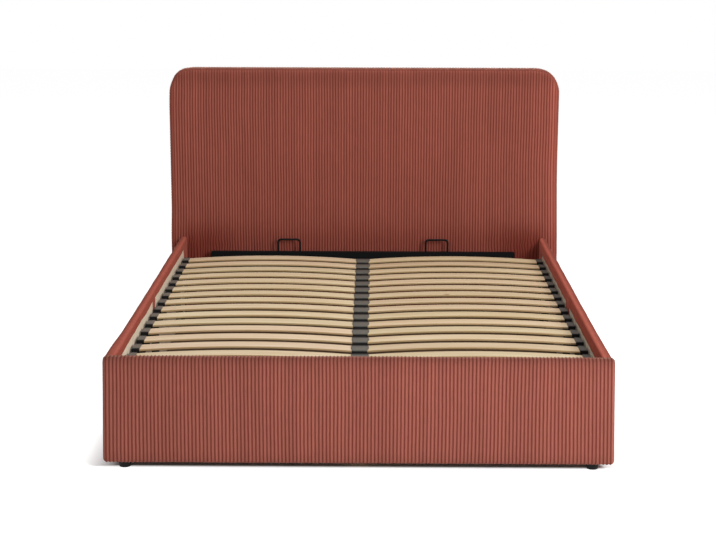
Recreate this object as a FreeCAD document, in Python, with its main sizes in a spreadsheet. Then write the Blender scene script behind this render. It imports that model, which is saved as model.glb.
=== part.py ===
import FreeCAD, Part
import math
import os
import re
import Sketcher

# Storage bed with a padded ribbed cover, a high headboard and a sprung slat platform.
# The foot end of the platform lifts about two pivots near the head and opens the storage space.
# Millimetres, +Z up, +X to the right seen from the foot, the foot end towards -Y.
# Origin on the floor at the centre of the whole bed.

# Driving dimensions
SIZES = {
    # overall frame
    "frame_width": 1620.0,
    "frame_length": 2060.0,
    "rail_height": 376.0,
    "footboard_width": 1640.0,
    "footboard_height": 381.0,
    "joint_setback": 1080.0,
    "floor_gap": 28.0,
    "board_thickness": 18.0,
    # cover of the rails and the footboard
    "fabric_thickness": 1.3,
    "fabric_gap": 0.3,
    "rail_padding": 5.1,
    "foot_padding": 12.0,
    "top_padding": 8.0,
    "outer_round": 9.0,
    "inner_round": 5.0,
    "wrap_height": 35.0,
    "wrap_length": 45.0,
    "joint_wrap_length": 32.0,
    "head_wrap_length": 90.0,
    "bottom_wrap": 20.0,
    # headboard
    "headboard_width": 1710.0,
    "headboard_height": 1124.0,
    "headboard_thickness": 85.0,
    "headboard_corner_radius": 104.0,
    "headboard_foot_radius": 14.0,
    "headboard_front_padding": 25.0,
    "headboard_side_padding": 12.0,
    "headboard_edge_roll": 14.0,
    "headboard_crown": 6.0,
    "crown_clearance": 10.0,
    "crown_middle": 90.0,
    "crown_end": 200.0,
    "back_cover_thickness": 2.0,
    "stile_width": 130.0,
    "crossbar_height": 80.0,
    # storage floor
    "ledger_width": 40.0,
    "ledger_height": 20.0,
    "beam_width": 60.0,
    "storage_panel_thickness": 6.0,
    "storage_panel_gap": 2.0,
    "beam_foot_offset": 330.0,
    # feet
    "foot_diameter": 43.0,
    "foot_inset": 47.5,
    "foot_setback": 55.0,
    "foot_taper": 3.0,
    # brackets, joint plates and bolts
    "bracket_thickness": 3.0,
    "bracket_side_leg": 120.0,
    "bracket_end_leg": 60.0,
    "bracket_foot_height": 140.0,
    "bracket_low": 90.0,
    "joint_plate_length": 180.0,
    "joint_plate_height": 150.0,
    "plate_round": 10.0,
    "bolt_diameter": 8.0,
    "bolt_head_diameter": 14.0,
    "bolt_head_height": 2.5,
    "bolt_depth": 12.0,
    "bolt_clearance": 0.2,
    "bolt_edge": 15.0,
    # platform tubes
    "platform_drop": 79.0,
    "tube_size": 30.0,
    "tube_wall": 1.5,
    "platform_side_clearance": 5.0,
    "platform_foot_clearance": 12.0,
    "side_tube_overhang": 41.0,
    "rest_gap": 0.3,
    # slats and holders
    "slat_count": 16.0,
    "first_slat": 186.0,
    "last_slat": 127.6,
    "slat_width": 65.0,
    "slat_thickness": 8.0,
    "slat_rise": 14.0,
    "holder_length": 27.0,
    "centre_holder_length": 56.0,
    "holder_base": 4.0,
    "holder_cover": 3.0,
    "holder_wall": 2.2,
    "holder_clearance": 0.2,
    # head bar and mattress loops
    "head_bar_inset": 80.0,
    "head_bar_setback": 34.0,
    "head_bar_drop": 56.0,
    "head_arm_inset": 25.0,
    "loop_wire": 9.0,
    "loop_width": 97.0,
    "loop_height": 54.5,
    "loop_bend": 14.0,
    "loop_offset": 326.0,
    # lifting hardware
    "pivot_setback": 320.0,
    "pivot_drop": 22.0,
    "pivot_diameter": 10.0,
    "pivot_clearance": 0.05,
    "hinge_plate_thickness": 3.0,
    "hinge_plate_margin": 34.0,
    "lift_arm_thickness": 5.0,
    "lift_arm_offset": 4.0,
    "lift_arm_rear": 30.0,
    "lift_arm_height": 58.0,
    "lift_arm_round": 12.0,
    "strut_lug_forward": 257.0,
    "strut_lug_drop": 21.0,
    "strut_foot_forward": 66.0,
    "strut_foot_drop": 165.0,
    "strut_inset": 21.0,
    "strut_pin_diameter": 8.0,
    "strut_eye_diameter": 18.0,
    "strut_eye_width": 10.0,
    "strut_slot_travel": 3.4,
    "strut_slot_clearance": 0.8,
    "cylinder_diameter": 18.0,
    "cylinder_bore": 14.0,
    "cylinder_start": 14.0,
    "cylinder_end": 192.0,
    "cylinder_cap": 6.0,
    "cylinder_neck": 9.0,
    "rod_diameter": 8.0,
    "rod_start": 62.0,
    "rod_clearance": 0.05,
    "strut_pin_end": 2.0,
    "strut_washer_diameter": 16.0,
    # pull strap at the foot end
    "strap_width": 25.0,
    "strap_thickness": 2.5,
    "strap_span": 130.0,
    "strap_tab": 30.0,
    "strap_rise": 22.0,
    # one overrun for all cuts
    "overrun": 5.0,
}

# Shapes that follow other sizes
CROWN_SHARES = (0.0, 0.7, 1.0)
ROLL_STEPS = 4
SIDES = (("left", -1), ("right", 1))
AXIS_X = FreeCAD.Vector(1, 0, 0)
AXIS_Y = FreeCAD.Vector(0, 1, 0)
AXIS_Z = FreeCAD.Vector(0, 0, 1)
PARALLEL = 1e-6

doc = FreeCAD.newDocument("storage_bed")
sheet = doc.addObject("Spreadsheet::Sheet", "Sizes")
for row, (alias, amount) in enumerate(SIZES.items(), start=1):
    sheet.set("A%d" % row, alias)
    sheet.set("B%d" % row, str(amount))
    sheet.setAlias("B%d" % row, alias)
doc.recompute()

sub_parts = []


def expression(text):
    """The text with each size's name pointing at its cell."""
    return re.sub(r"[a-z][a-z_]*", cell_name, text)


def cell_name(word):
    """A matched word, with the sheet's name before it if it is one of the sizes."""
    name = word.group()
    return "Sizes." + name if name in SIZES else name


def amount_of(alias):
    """The number in one cell of the sheet."""
    return float(getattr(sheet, alias))


# Sums that several sub-parts share, as expressions on the sheet
RAIL_THICKNESS = "(rail_padding + 2 * fabric_gap + board_thickness + fabric_thickness)"
FOOT_THICKNESS = "(foot_padding + 2 * fabric_gap + board_thickness + fabric_thickness)"
FOOT_FACE = "(-(frame_length + fabric_gap + headboard_thickness) / 2)"
FOOT_INNER = "(%s + %s)" % (FOOT_FACE, FOOT_THICKNESS)
HEAD_FACE = "(%s + frame_length)" % FOOT_FACE
INNER_X = "(frame_width / 2 - %s)" % RAIL_THICKNESS
SEAT_X = "(%s - fabric_gap)" % INNER_X
BOARD_INNER_X = "(%s + fabric_thickness + fabric_gap)" % INNER_X
BOARD_LOW = "(floor_gap + fabric_thickness + fabric_gap)"
BOARD_HIGH = "(rail_height - top_padding - fabric_gap)"
LEDGER_TOP = "(%s + ledger_height)" % BOARD_LOW
MID_Y = "(%s + frame_length / 2)" % FOOT_FACE
JOINT_Y = "(%s - joint_setback)" % HEAD_FACE
TUBE_TOP = "(rail_height - platform_drop)"
TUBE_LOW = "(%s - tube_size)" % TUBE_TOP
TUBE_OUTER_X = "(%s - platform_side_clearance)" % INNER_X
TUBE_INNER_X = "(%s - tube_size)" % TUBE_OUTER_X
PLATFORM_FOOT = "(%s + platform_foot_clearance)" % FOOT_INNER
FIRST_SLAT_Y = "(%s - first_slat)" % HEAD_FACE
LAST_SLAT_Y = "(%s + last_slat)" % PLATFORM_FOOT
HEAD_TUBE_LOW_Y = "(%s - tube_size / 2)" % FIRST_SLAT_Y
SIDE_TUBE_END = "(%s + side_tube_overhang)" % FIRST_SLAT_Y
BAR_LOW_Y = "(%s - head_bar_setback - tube_size)" % HEAD_FACE
BAR_TOP = "(rail_height - head_bar_drop)"
BAR_END = "(%s - head_bar_inset)" % TUBE_INNER_X
PIVOT_Y = "(%s - pivot_setback)" % HEAD_FACE
PIVOT_Z = "(%s - pivot_drop)" % TUBE_LOW
ARM_OUTER_X = "(%s - lift_arm_offset)" % TUBE_OUTER_X
HINGE_PLATE_X = "(%s - hinge_plate_thickness)" % BOARD_INNER_X
HEADBOARD_Y = "(%s + fabric_gap)" % HEAD_FACE
HEADBOARD_BOARD_Y = "(%s + headboard_front_padding + fabric_gap)" % HEADBOARD_Y
STILE_Y = "(%s + board_thickness)" % HEADBOARD_BOARD_Y
STILE_DEPTH = (
    "(headboard_thickness - headboard_front_padding - 2 * fabric_gap"
    " - board_thickness - back_cover_thickness)"
)
HEADBOARD_BOARD_X = "(headboard_width / 2 - headboard_side_padding - fabric_gap)"
STILE_X = "(%s - headboard_foot_radius)" % HEADBOARD_BOARD_X
HEADBOARD_BOARD_TOP = "(headboard_height - headboard_side_padding - fabric_gap)"
HEADBOARD_OVERHANG = "((headboard_width - frame_width) / 2)"
CROWN_START = "(%s + %s + bracket_end_leg + crown_clearance)" % (HEADBOARD_OVERHANG, RAIL_THICKNESS)


def number(text):
    """The value of a shared sum, read from one float property bound to it."""
    probe.setExpression("Radius", expression(text))
    probe.recompute()
    return float(probe.Radius)


def place(item, x, y, z):
    """Bind the place of a sub-part to the sheet."""
    item.setExpression("Placement.Base.x", expression(x))
    item.setExpression("Placement.Base.y", expression(y))
    item.setExpression("Placement.Base.z", expression(z))


def keep(item, name):
    """List an object of the document as a sub-part."""
    item.Label = name
    sub_parts.append(item)
    return item


def low_x(side, low, depth):
    """Lower X of a piece that reaches from low to low + depth on the right, mirrored on the left."""
    if side > 0:
        return low
    return "-(%s) - (%s)" % (low, depth)


def box(name, x, y, z, length, width, height):
    """A plain board or batten."""
    item = doc.addObject("Part::Box", name)
    item.setExpression("Length", expression(length))
    item.setExpression("Width", expression(width))
    item.setExpression("Height", expression(height))
    place(item, x, y, z)
    keep(item, name)


def new_body(name):
    body = doc.addObject("PartDesign::Body", name)
    return keep(body, name)


def new_sketch(body, role, name):
    """A sketch on one of the body's own origin planes."""
    sketch = body.newObject("Sketcher::SketchObject", name)
    plane = [item for item in body.Origin.OriginFeatures if item.Role == role][0]
    sketch.AttachmentSupport = [(plane, "")]
    sketch.MapMode = "FlatFace"
    return sketch


def bind(sketch, kind, first, text):
    """Add one driving constraint and bind it to the sheet."""
    index = sketch.addConstraint(Sketcher.Constraint(kind, *first, 1.0))
    sketch.setExpression("Constraints[%d]" % index, expression(text))


def rectangle(sketch, left, low, width, height):
    """A rectangle whose lower left corner lies left and low of the sketch's origin."""
    corners = [(1, 1), (2, 1), (2, 2), (1, 2)]
    points = [FreeCAD.Vector(x, y, 0) for x, y in corners]
    first = sketch.GeometryCount
    for start, end in zip(points, points[1:] + points[:1]):
        sketch.addGeometry(Part.LineSegment(start, end), False)
    lines = [first + step for step in range(4)]
    for line, following in zip(lines, lines[1:] + lines[:1]):
        sketch.addConstraint(Sketcher.Constraint("Coincident", line, 2, following, 1))
    for line in lines[0::2]:
        sketch.addConstraint(Sketcher.Constraint("Horizontal", line))
    for line in lines[1::2]:
        sketch.addConstraint(Sketcher.Constraint("Vertical", line))
    bind(sketch, "DistanceX", (lines[0], 1, lines[0], 2), width)
    bind(sketch, "DistanceY", (lines[1], 1, lines[1], 2), height)
    if left == "0" and low == "0":
        sketch.addConstraint(Sketcher.Constraint("Coincident", lines[0], 1, -1, 1))
        return
    bind(sketch, "DistanceX", (-1, 1, lines[0], 1), left)
    bind(sketch, "DistanceY", (-1, 1, lines[0], 1), low)


def circle(sketch, across, up, radius):
    """A circle whose centre lies across and up from the sketch's origin."""
    index = sketch.addGeometry(Part.Circle(FreeCAD.Vector(1, 1, 0), FreeCAD.Vector(0, 0, 1), 1), False)
    bind(sketch, "Radius", (index,), radius)
    bind(sketch, "DistanceX", (-1, 1, index, 3), across)
    bind(sketch, "DistanceY", (-1, 1, index, 3), up)


def pad(body, sketch, name, depth):
    """Pad a sketch towards the plus side of the axis that it stands on."""
    feature = body.newObject("PartDesign::Pad", name)
    feature.Profile = sketch
    feature.setExpression("Length", expression(depth))
    feature.Reversed = sketch.AttachmentSupport[0][0].Role == "XZ_Plane"
    return feature


def through_pocket(body, sketch, name):
    """Cut a sketch both ways through the whole body."""
    feature = body.newObject("PartDesign::Pocket", name)
    feature.Profile = sketch
    feature.Type = 1
    feature.Midplane = True


def round_edges(body, feature, direction, radius, name):
    """Round every straight edge of the last feature that runs along one direction."""
    doc.recompute()
    chosen = []
    for index, edge in enumerate(feature.Shape.Edges, start=1):
        if not isinstance(edge.Curve, Part.Line):
            continue
        if edge.tangentAt(edge.FirstParameter).cross(direction).Length < PARALLEL:
            chosen.append("Edge%d" % index)
    fillet = body.newObject("PartDesign::Fillet", name)
    fillet.Base = (feature, chosen)
    fillet.setExpression("Radius", expression(radius))


# Code-made shapes for covers, slats, loops and struts

def block(low, high):
    """A box between two corners."""
    spans = [end - start for start, end in zip(low, high)]
    return Part.makeBox(*spans, FreeCAD.Vector(*low))


def rod_along(start, axis, radius, length):
    return Part.makeCylinder(radius, length, start, axis)


def shaped(name, shape):
    """A sub-part whose shape is worked out in code from the sheet."""
    item = doc.addObject("Part::Feature", name)
    item.Shape = shape
    item.Placement = FreeCAD.Placement()
    keep(item, name)


def straight_edges(solid, axis, test):
    """Straight edges along an axis whose middle passes a test."""
    chosen = []
    for edge in solid.Edges:
        if not isinstance(edge.Curve, Part.Line):
            continue
        if edge.tangentAt(edge.FirstParameter).cross(axis).Length > PARALLEL:
            continue
        if test(edge.CenterOfMass):
            chosen.append(edge)
    return chosen


def padded_rail(low, high, outward, size):
    """The outer form of a padded board: a slab with a rolled front and top and a softer inner top.

    low and high are the slab's corners, outward is the side of it that faces out of the bed.
    """
    slab = block(low, high)
    middle = (FreeCAD.Vector(*low) + FreeCAD.Vector(*high)) * 0.5
    face_edges = []
    for axis in (AXIS_X, AXIS_Y, AXIS_Z):
        if abs(axis.dot(outward)) > 0.5:
            continue
        face_edges += straight_edges(slab, axis, lambda point: (point - middle).dot(outward) > 0)
    slab = slab.makeFillet(size("outer_round"), face_edges)
    run = AXIS_Z.cross(outward)
    top_edge = straight_edges(
        slab, run, lambda point: (point - middle).dot(outward) < 0 and point.z > middle.z
    )
    return slab.makeFillet(size("inner_round"), top_edge)


def slat_outline(start_x, end_x, tab_start, tab_end, low, thickness, rise):
    """A strip seen from the side: flat tabs at both ends and an even arch between them."""
    high = low + thickness
    left = start_x + tab_start
    right = end_x - tab_end
    middle = (left + right) / 2
    bottom = [FreeCAD.Vector(start_x, 0, low), FreeCAD.Vector(left, 0, low), FreeCAD.Vector(right, 0, low)]
    top = [FreeCAD.Vector(end_x, 0, high), FreeCAD.Vector(right, 0, high), FreeCAD.Vector(left, 0, high)]
    end_low = FreeCAD.Vector(end_x, 0, low)
    start_high = FreeCAD.Vector(start_x, 0, high)
    edges = [
        Part.makeLine(bottom[0], bottom[1]),
        Part.Arc(bottom[1], FreeCAD.Vector(middle, 0, low + rise), bottom[2]).toShape(),
        Part.makeLine(bottom[2], end_low),
        Part.makeLine(end_low, top[0]),
        Part.makeLine(top[0], top[1]),
        Part.Arc(top[1], FreeCAD.Vector(middle, 0, high + rise), top[2]).toShape(),
        Part.makeLine(top[2], start_high),
        Part.makeLine(start_high, bottom[0]),
    ]
    return Part.Face(Part.Wire(edges))


def rounded_panel(half_width, low, high, top_radius, low_radius, y):
    """Outline of an upright panel at one Y: two large top corners and two small low corners."""
    corners = [
        (half_width - low_radius, low + low_radius, low_radius, -90),
        (half_width - top_radius, high - top_radius, top_radius, 0),
        (top_radius - half_width, high - top_radius, top_radius, 90),
        (low_radius - half_width, low + low_radius, low_radius, 180),
    ]
    arcs = []
    for across, up, radius, start in corners:
        points = []
        for turn in (0, 45, 90):
            angle = math.radians(start + turn)
            x = across + radius * math.cos(angle)
            z = up + radius * math.sin(angle)
            points.append(FreeCAD.Vector(x, y, z))
        arcs.append(points)
    edges = []
    for points, following in zip(arcs, arcs[1:] + arcs[:1]):
        edges.append(Part.Arc(*points).toShape())
        edges.append(Part.makeLine(points[2], following[0]))
    return Part.Wire(edges)


# Headboard

def headboard_outline(inset, y, size):
    """The cover's outline, drawn in by an inset, with its corners drawn in too."""
    half_width = size("headboard_width") / 2 - inset
    low = size("floor_gap") + inset
    high = size("headboard_height") - inset
    low_radius = size("headboard_foot_radius")
    top_radius = max(size("headboard_corner_radius") - inset, low_radius)
    return rounded_panel(half_width, low, high, top_radius, low_radius, y)


def make_headboard_upholstery():
    """The padded cover: rolled front edges and a low crown, hollow behind for the board and its frame."""
    size = amount_of
    front = number(HEADBOARD_Y)
    rear = front + size("headboard_thickness")
    roll = size("headboard_edge_roll")
    sections = [headboard_outline(0, rear, size)]
    for step in range(ROLL_STEPS + 1):
        turn = math.radians(90 * step / ROLL_STEPS)
        inset = roll * (1 - math.cos(turn))
        sections.append(headboard_outline(inset, front + roll * (1 - math.sin(turn)), size))
    start = number(CROWN_START)
    insets = [start, start + size("crown_middle"), start + size("crown_end")]
    for inset, share in zip(insets, CROWN_SHARES):
        sections.append(headboard_outline(inset, front - share * size("headboard_crown"), size))
    form = Part.makeLoft(sections, True, True)
    side = size("headboard_side_padding")
    hollow_outline = rounded_panel(
        size("headboard_width") / 2 - side,
        number(BOARD_LOW) - size("fabric_gap"),
        size("headboard_height") - side,
        size("headboard_corner_radius") - side,
        size("headboard_foot_radius"),
        front + size("headboard_front_padding"),
    )
    depth = size("headboard_thickness") - size("headboard_front_padding") + size("overrun")
    hollow = Part.Face(hollow_outline).extrude(FreeCAD.Vector(0, depth, 0))
    form = form.cut(hollow)
    for spot in headboard_bolt_spots():
        hole = rod_along(
            FreeCAD.Vector(spot.x, front - size("overrun"), spot.z),
            AXIS_Y,
            size("bolt_diameter") / 2 + size("bolt_clearance"),
            size("headboard_front_padding") + 2 * size("overrun"),
        )
        form = form.cut(hole)
    shaped("headboard_upholstery", form)


def headboard_inner_outline(y, size):
    """Outline of what lies inside the cover: the board and the cloth on its back."""
    top_radius = size("headboard_corner_radius") - size("headboard_side_padding") - size("fabric_gap")
    low_radius = size("headboard_foot_radius") - size("fabric_gap")
    half_width = number(HEADBOARD_BOARD_X)
    top = number(HEADBOARD_BOARD_TOP)
    return rounded_panel(half_width, number(BOARD_LOW), top, top_radius, low_radius, y)


def make_headboard_board():
    """The board behind the padding, drilled for the bracket bolts."""
    size = amount_of
    outline = headboard_inner_outline(number(HEADBOARD_BOARD_Y), size)
    board = Part.Face(outline).extrude(AXIS_Y * size("board_thickness"))
    for spot in headboard_bolt_spots():
        start = FreeCAD.Vector(spot.x, number(HEADBOARD_BOARD_Y) - size("overrun"), spot.z)
        board = board.cut(rod_along(start, AXIS_Y, size("bolt_diameter") / 2 + size("bolt_clearance"),
                                    size("bolt_depth") + size("bolt_clearance") + size("overrun")))
    shaped("headboard_board", board)


def make_headboard_frame():
    """Two stiles and a low crossbar behind the board, and the thin cover on the back."""
    height = "%s - headboard_corner_radius - %s" % (HEADBOARD_BOARD_TOP, BOARD_LOW)
    for side_name, side in SIDES:
        x = low_x(side, "%s - stile_width" % STILE_X, "stile_width")
        box("headboard_stile_" + side_name, x, STILE_Y, BOARD_LOW, "stile_width", STILE_DEPTH, height)
    clear = "2 * (%s - stile_width)" % STILE_X
    low_x_of_bar = "-(%s) / 2" % clear
    box("headboard_crossbar", low_x_of_bar, STILE_Y, BOARD_LOW, clear, STILE_DEPTH, "crossbar_height")
    outline = headboard_inner_outline(number("%s + %s" % (STILE_Y, STILE_DEPTH)), amount_of)
    cover = Part.Face(outline).extrude(AXIS_Y * amount_of("back_cover_thickness"))
    shaped("headboard_back_cover", cover)


# Footboard

def make_footboard():
    """The footboard: a board in a padded cover that laps onto its inner face all round."""
    size = amount_of
    half = size("footboard_width") / 2
    face = number(FOOT_FACE)
    inner = number(FOOT_INNER)
    low = size("floor_gap")
    high = size("footboard_height")
    form = padded_rail((-half, face, low), (half, inner, high), -AXIS_Y, size)
    skin = size("fabric_thickness")
    gap = size("fabric_gap")
    board_low = (-half + size("outer_round"), face + size("foot_padding") + gap, number(BOARD_LOW))
    board_top = high - size("top_padding") - gap
    board_high = (half - size("outer_round"), inner - skin - gap, board_top)
    hollow = block([value - gap for value in board_low], [value + gap for value in board_high])
    window = block(
        (-half + size("wrap_length"), board_high[1], low + size("bottom_wrap")),
        (half - size("wrap_length"), inner + size("overrun"), high - size("wrap_height")),
    )
    shaped("footboard_upholstery", form.cut(hollow).cut(window))
    board = block(board_low, board_high)
    for spot in foot_bolt_spots():
        start = FreeCAD.Vector(spot.x, board_high[1] + size("overrun"), spot.z)
        board = board.cut(rod_along(start, -AXIS_Y, size("bolt_diameter") / 2 + size("bolt_clearance"),
                                    size("bolt_depth") + size("bolt_clearance") + size("overrun")))
    shaped("footboard_board", board)


# Side rails, each in two halves

def rail_half_ends(end_name):
    """Start and end of a rail half along Y, and how far its cover laps in at each end."""
    size = amount_of
    gap = size("fabric_gap")
    joint = number(JOINT_Y)
    joint_lap = size("joint_wrap_length")
    if end_name == "front":
        return number(FOOT_INNER) + gap, joint - gap / 2, size("wrap_length"), joint_lap
    return joint + gap / 2, number(HEAD_FACE), joint_lap, size("head_wrap_length")


def make_side_rail(side_name, side, end_name):
    """One half of a side rail: its board and its padded cover with the lap on the inner face."""
    size = amount_of
    gap = size("fabric_gap")
    skin = size("fabric_thickness")
    start, end, lap_start, lap_end = rail_half_ends(end_name)
    outer = size("frame_width") / 2
    inner = number(INNER_X)
    low = size("floor_gap")
    high = size("rail_height")
    right = padded_rail((inner, start, low), (outer, end, high), AXIS_X, size)
    board_low = (number(BOARD_INNER_X), start + skin + gap, number(BOARD_LOW))
    board_high = (outer - size("rail_padding") - gap, end - skin - gap, number(BOARD_HIGH))
    hollow = block([value - gap for value in board_low], [value + gap for value in board_high])
    window = block(
        (inner - size("overrun"), start + lap_start, low + size("bottom_wrap")),
        (board_low[0], end - lap_end, high - size("wrap_height")),
    )
    cover = right.cut(hollow).cut(window)
    board = block(board_low, board_high)
    for spot in side_bolt_spots():
        if not board_low[1] < spot.y < board_high[1]:
            continue
        hole = rod_along(
            FreeCAD.Vector(board_low[0] - size("overrun"), spot.y, spot.z),
            AXIS_X,
            size("bolt_diameter") / 2 + size("bolt_clearance"),
            size("bolt_depth") + size("bolt_clearance") + size("overrun"),
        )
        board = board.cut(hole)
    if side < 0:
        cover = cover.mirror(FreeCAD.Vector(), AXIS_X)
        board = board.mirror(FreeCAD.Vector(), AXIS_X)
    shaped("side_upholstery_%s_%s" % (side_name, end_name), cover)
    shaped("side_board_%s_%s" % (side_name, end_name), board)


# Brackets, joint plates and bolts. Spots are bolt centres on the right side of the bed.

def bracket_levels():
    """Heights of the two bolts in each bracket leg and in the joint plates."""
    size = amount_of
    low = size("bracket_low") + size("bolt_edge") * 2
    high = size("bracket_low") + size("bracket_foot_height") - size("bolt_edge") * 2
    return low, high


def foot_bolt_spots():
    size = amount_of
    across = number(SEAT_X) - size("bracket_end_leg") + size("bolt_edge")
    y = number(FOOT_INNER)
    return [FreeCAD.Vector(sign * across, y, level) for sign in (-1, 1) for level in bracket_levels()]


def headboard_bolt_spots():
    size = amount_of
    across = number(SEAT_X) - size("bracket_end_leg") + size("bolt_edge")
    y = number(HEAD_FACE)
    return [FreeCAD.Vector(sign * across, y, level) for sign in (-1, 1) for level in bracket_levels()]


def plate_bolt_spots():
    """Bolts through the brackets' side legs and the joint plates, on the right."""
    size = amount_of
    x = number(SEAT_X) - size("bracket_thickness")
    reach = size("bracket_side_leg") - size("bolt_edge")
    half_plate = size("joint_plate_length") / 2 - size("bolt_edge")
    rows = [
        number(FOOT_INNER) + size("fabric_gap") + reach,
        number(JOINT_Y) - half_plate,
        number(JOINT_Y) + half_plate,
        number(HEAD_FACE) - reach,
    ]
    return [FreeCAD.Vector(x, y, level) for y in rows for level in bracket_levels()]


def hinge_bolt_spots():
    """Bolts through the corners of the hinge plate, on the right."""
    size = amount_of
    x = number(HINGE_PLATE_X)
    low_y = number(hinge_plate_low_y())
    high_y = low_y + number(hinge_plate_width())
    low_z = number(hinge_plate_low_z())
    high_z = low_z + number(hinge_plate_height())
    edge = size("bolt_edge")
    spots = []
    for y in (low_y + edge, high_y - edge):
        for z in (low_z + edge, high_z - edge):
            spots.append(FreeCAD.Vector(x, y, z))
    return spots


def side_bolt_spots():
    return plate_bolt_spots() + hinge_bolt_spots()


def bolt(spot, axis, grip):
    """One bolt: its head on the seat at the spot, its shank along the axis through the grip."""
    size = amount_of
    height = size("bolt_head_height")
    head = rod_along(spot - axis * height, axis, size("bolt_head_diameter") / 2, height)
    circles = [edge for edge in head.Edges if isinstance(edge.Curve, Part.Circle)]
    rims = [edge for edge in circles if (edge.CenterOfMass - spot).dot(axis) < -height / 2]
    head = head.makeFillet(height / 3, rims)
    shank = rod_along(spot, axis, size("bolt_diameter") / 2, grip)
    return head.fuse(shank).removeSplitter()


def make_frame_bolts():
    """All bolts that hold the brackets, joint plates and hinge plates."""
    size = amount_of
    bolts = []
    bracket_grip = number(BOARD_INNER_X) - number(SEAT_X) + size("bracket_thickness") + size("bolt_depth")
    hinge_grip = size("hinge_plate_thickness") + size("bolt_depth")
    for spots, grip in ((plate_bolt_spots(), bracket_grip), (hinge_bolt_spots(), hinge_grip)):
        for spot in spots:
            right = bolt(spot, AXIS_X, grip)
            bolts.append(right)
            bolts.append(right.mirror(FreeCAD.Vector(), AXIS_X))
    plate = size("bracket_thickness") + size("fabric_gap")
    foot_grip = plate + size("fabric_thickness") + size("fabric_gap") + size("bolt_depth")
    for spot in foot_bolt_spots():
        bolts.append(bolt(spot + AXIS_Y * plate, -AXIS_Y, foot_grip))
    head_seat = size("bracket_thickness")
    head_grip = head_seat + size("fabric_gap") * 2 + size("headboard_front_padding") + size("bolt_depth")
    for spot in headboard_bolt_spots():
        bolts.append(bolt(spot - AXIS_Y * head_seat, AXIS_Y, head_grip))
    shaped("frame_bolts", Part.makeCompound(bolts))


def make_corner_bracket(end_name, side_name, side):
    """A steel angle in one corner. The foot ones have a shelf that the closed platform lies on."""
    name = "corner_bracket_%s_%s" % (end_name, side_name)
    body = new_body(name)
    end_low = "%s + fabric_gap" % FOOT_INNER
    if end_name == "head":
        end_low = "%s - bracket_side_leg" % HEAD_FACE
    height = "bracket_foot_height"
    if end_name == "foot":
        height = "%s - rest_gap - bracket_low" % TUBE_LOW
    sketch = new_sketch(body, "XY_Plane", name + "_angle_sketch")
    angle_outline(sketch, end_name, side)
    pad(body, sketch, name + "_angle", height)
    if end_name == "foot":
        shelf_sketch = new_sketch(body, "XY_Plane", name + "_shelf_sketch")
        shelf_sketch.setExpression(
            "AttachmentOffset.Base.z", expression("%s - bracket_thickness" % height)
        )
        mirrored_rectangle(shelf_sketch, side, "bracket_end_leg", "bracket_end_leg")
        pad(body, shelf_sketch, name + "_shelf", "bracket_thickness")
    holes = new_sketch(body, "YZ_Plane", name + "_side_holes_sketch")
    levels = ("bolt_edge * 2", "bracket_foot_height - bolt_edge * 2")
    reach = "bracket_side_leg - bolt_edge" if end_name == "foot" else "bolt_edge"
    for level in levels:
        circle(holes, reach, level, "bolt_diameter / 2 + bolt_clearance")
    through_pocket(body, holes, name + "_side_holes")
    end_holes = new_sketch(body, "XZ_Plane", name + "_end_holes_sketch")
    for level in levels:
        mirrored_circle(end_holes, side, "bolt_edge", level, "bolt_diameter / 2 + bolt_clearance")
    through_pocket(body, end_holes, name + "_end_holes")
    x = "%d * (%s - bracket_end_leg)" % (side, SEAT_X)
    place(body, x, end_low, "bracket_low")


def mirrored_rectangle(sketch, side, width, height):
    """A rectangle from the sketch's origin towards one side."""
    corners = [(0, 0), (side, 0), (side, 1), (0, 1)]
    closed_outline(sketch, corners, [width, height])


def mirrored_circle(sketch, side, across, up, radius):
    """A circle on one side of the sketch's origin."""
    centre = FreeCAD.Vector(side, 1, 0)
    index = sketch.addGeometry(Part.Circle(centre, FreeCAD.Vector(0, 0, 1), 1), False)
    bind(sketch, "Radius", (index,), radius)
    bind(sketch, "DistanceY", (-1, 1, index, 3), up)
    if side > 0:
        bind(sketch, "DistanceX", (-1, 1, index, 3), across)
        return
    bind(sketch, "DistanceX", (index, 3, -1, 1), across)


def closed_outline(sketch, corners, spans):
    """Upright and level lines through the corners in turn, the first corner at the origin.

    spans holds the length of each line but the last two, in order.
    """
    first = sketch.GeometryCount
    points = [FreeCAD.Vector(x, y, 0) for x, y in corners]
    count = len(points)
    for index in range(count):
        sketch.addGeometry(Part.LineSegment(points[index], points[(index + 1) % count]), False)
    for index in range(count):
        line = first + index
        following = first + (index + 1) % count
        sketch.addConstraint(Sketcher.Constraint("Coincident", line, 2, following, 1))
    for index in range(count):
        step = points[(index + 1) % count] - points[index]
        kind = "Horizontal" if abs(step.x) > abs(step.y) else "Vertical"
        sketch.addConstraint(Sketcher.Constraint(kind, first + index))
    sketch.addConstraint(Sketcher.Constraint("Coincident", first, 1, -1, 1))
    for index, span in enumerate(spans):
        step = points[index + 1] - points[index]
        axis = "DistanceX" if abs(step.x) > abs(step.y) else "DistanceY"
        ends = (first + index, 1, first + index, 2)
        if step.x + step.y < 0:
            ends = (first + index, 2, first + index, 1)
        bind(sketch, axis, ends, span)


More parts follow.
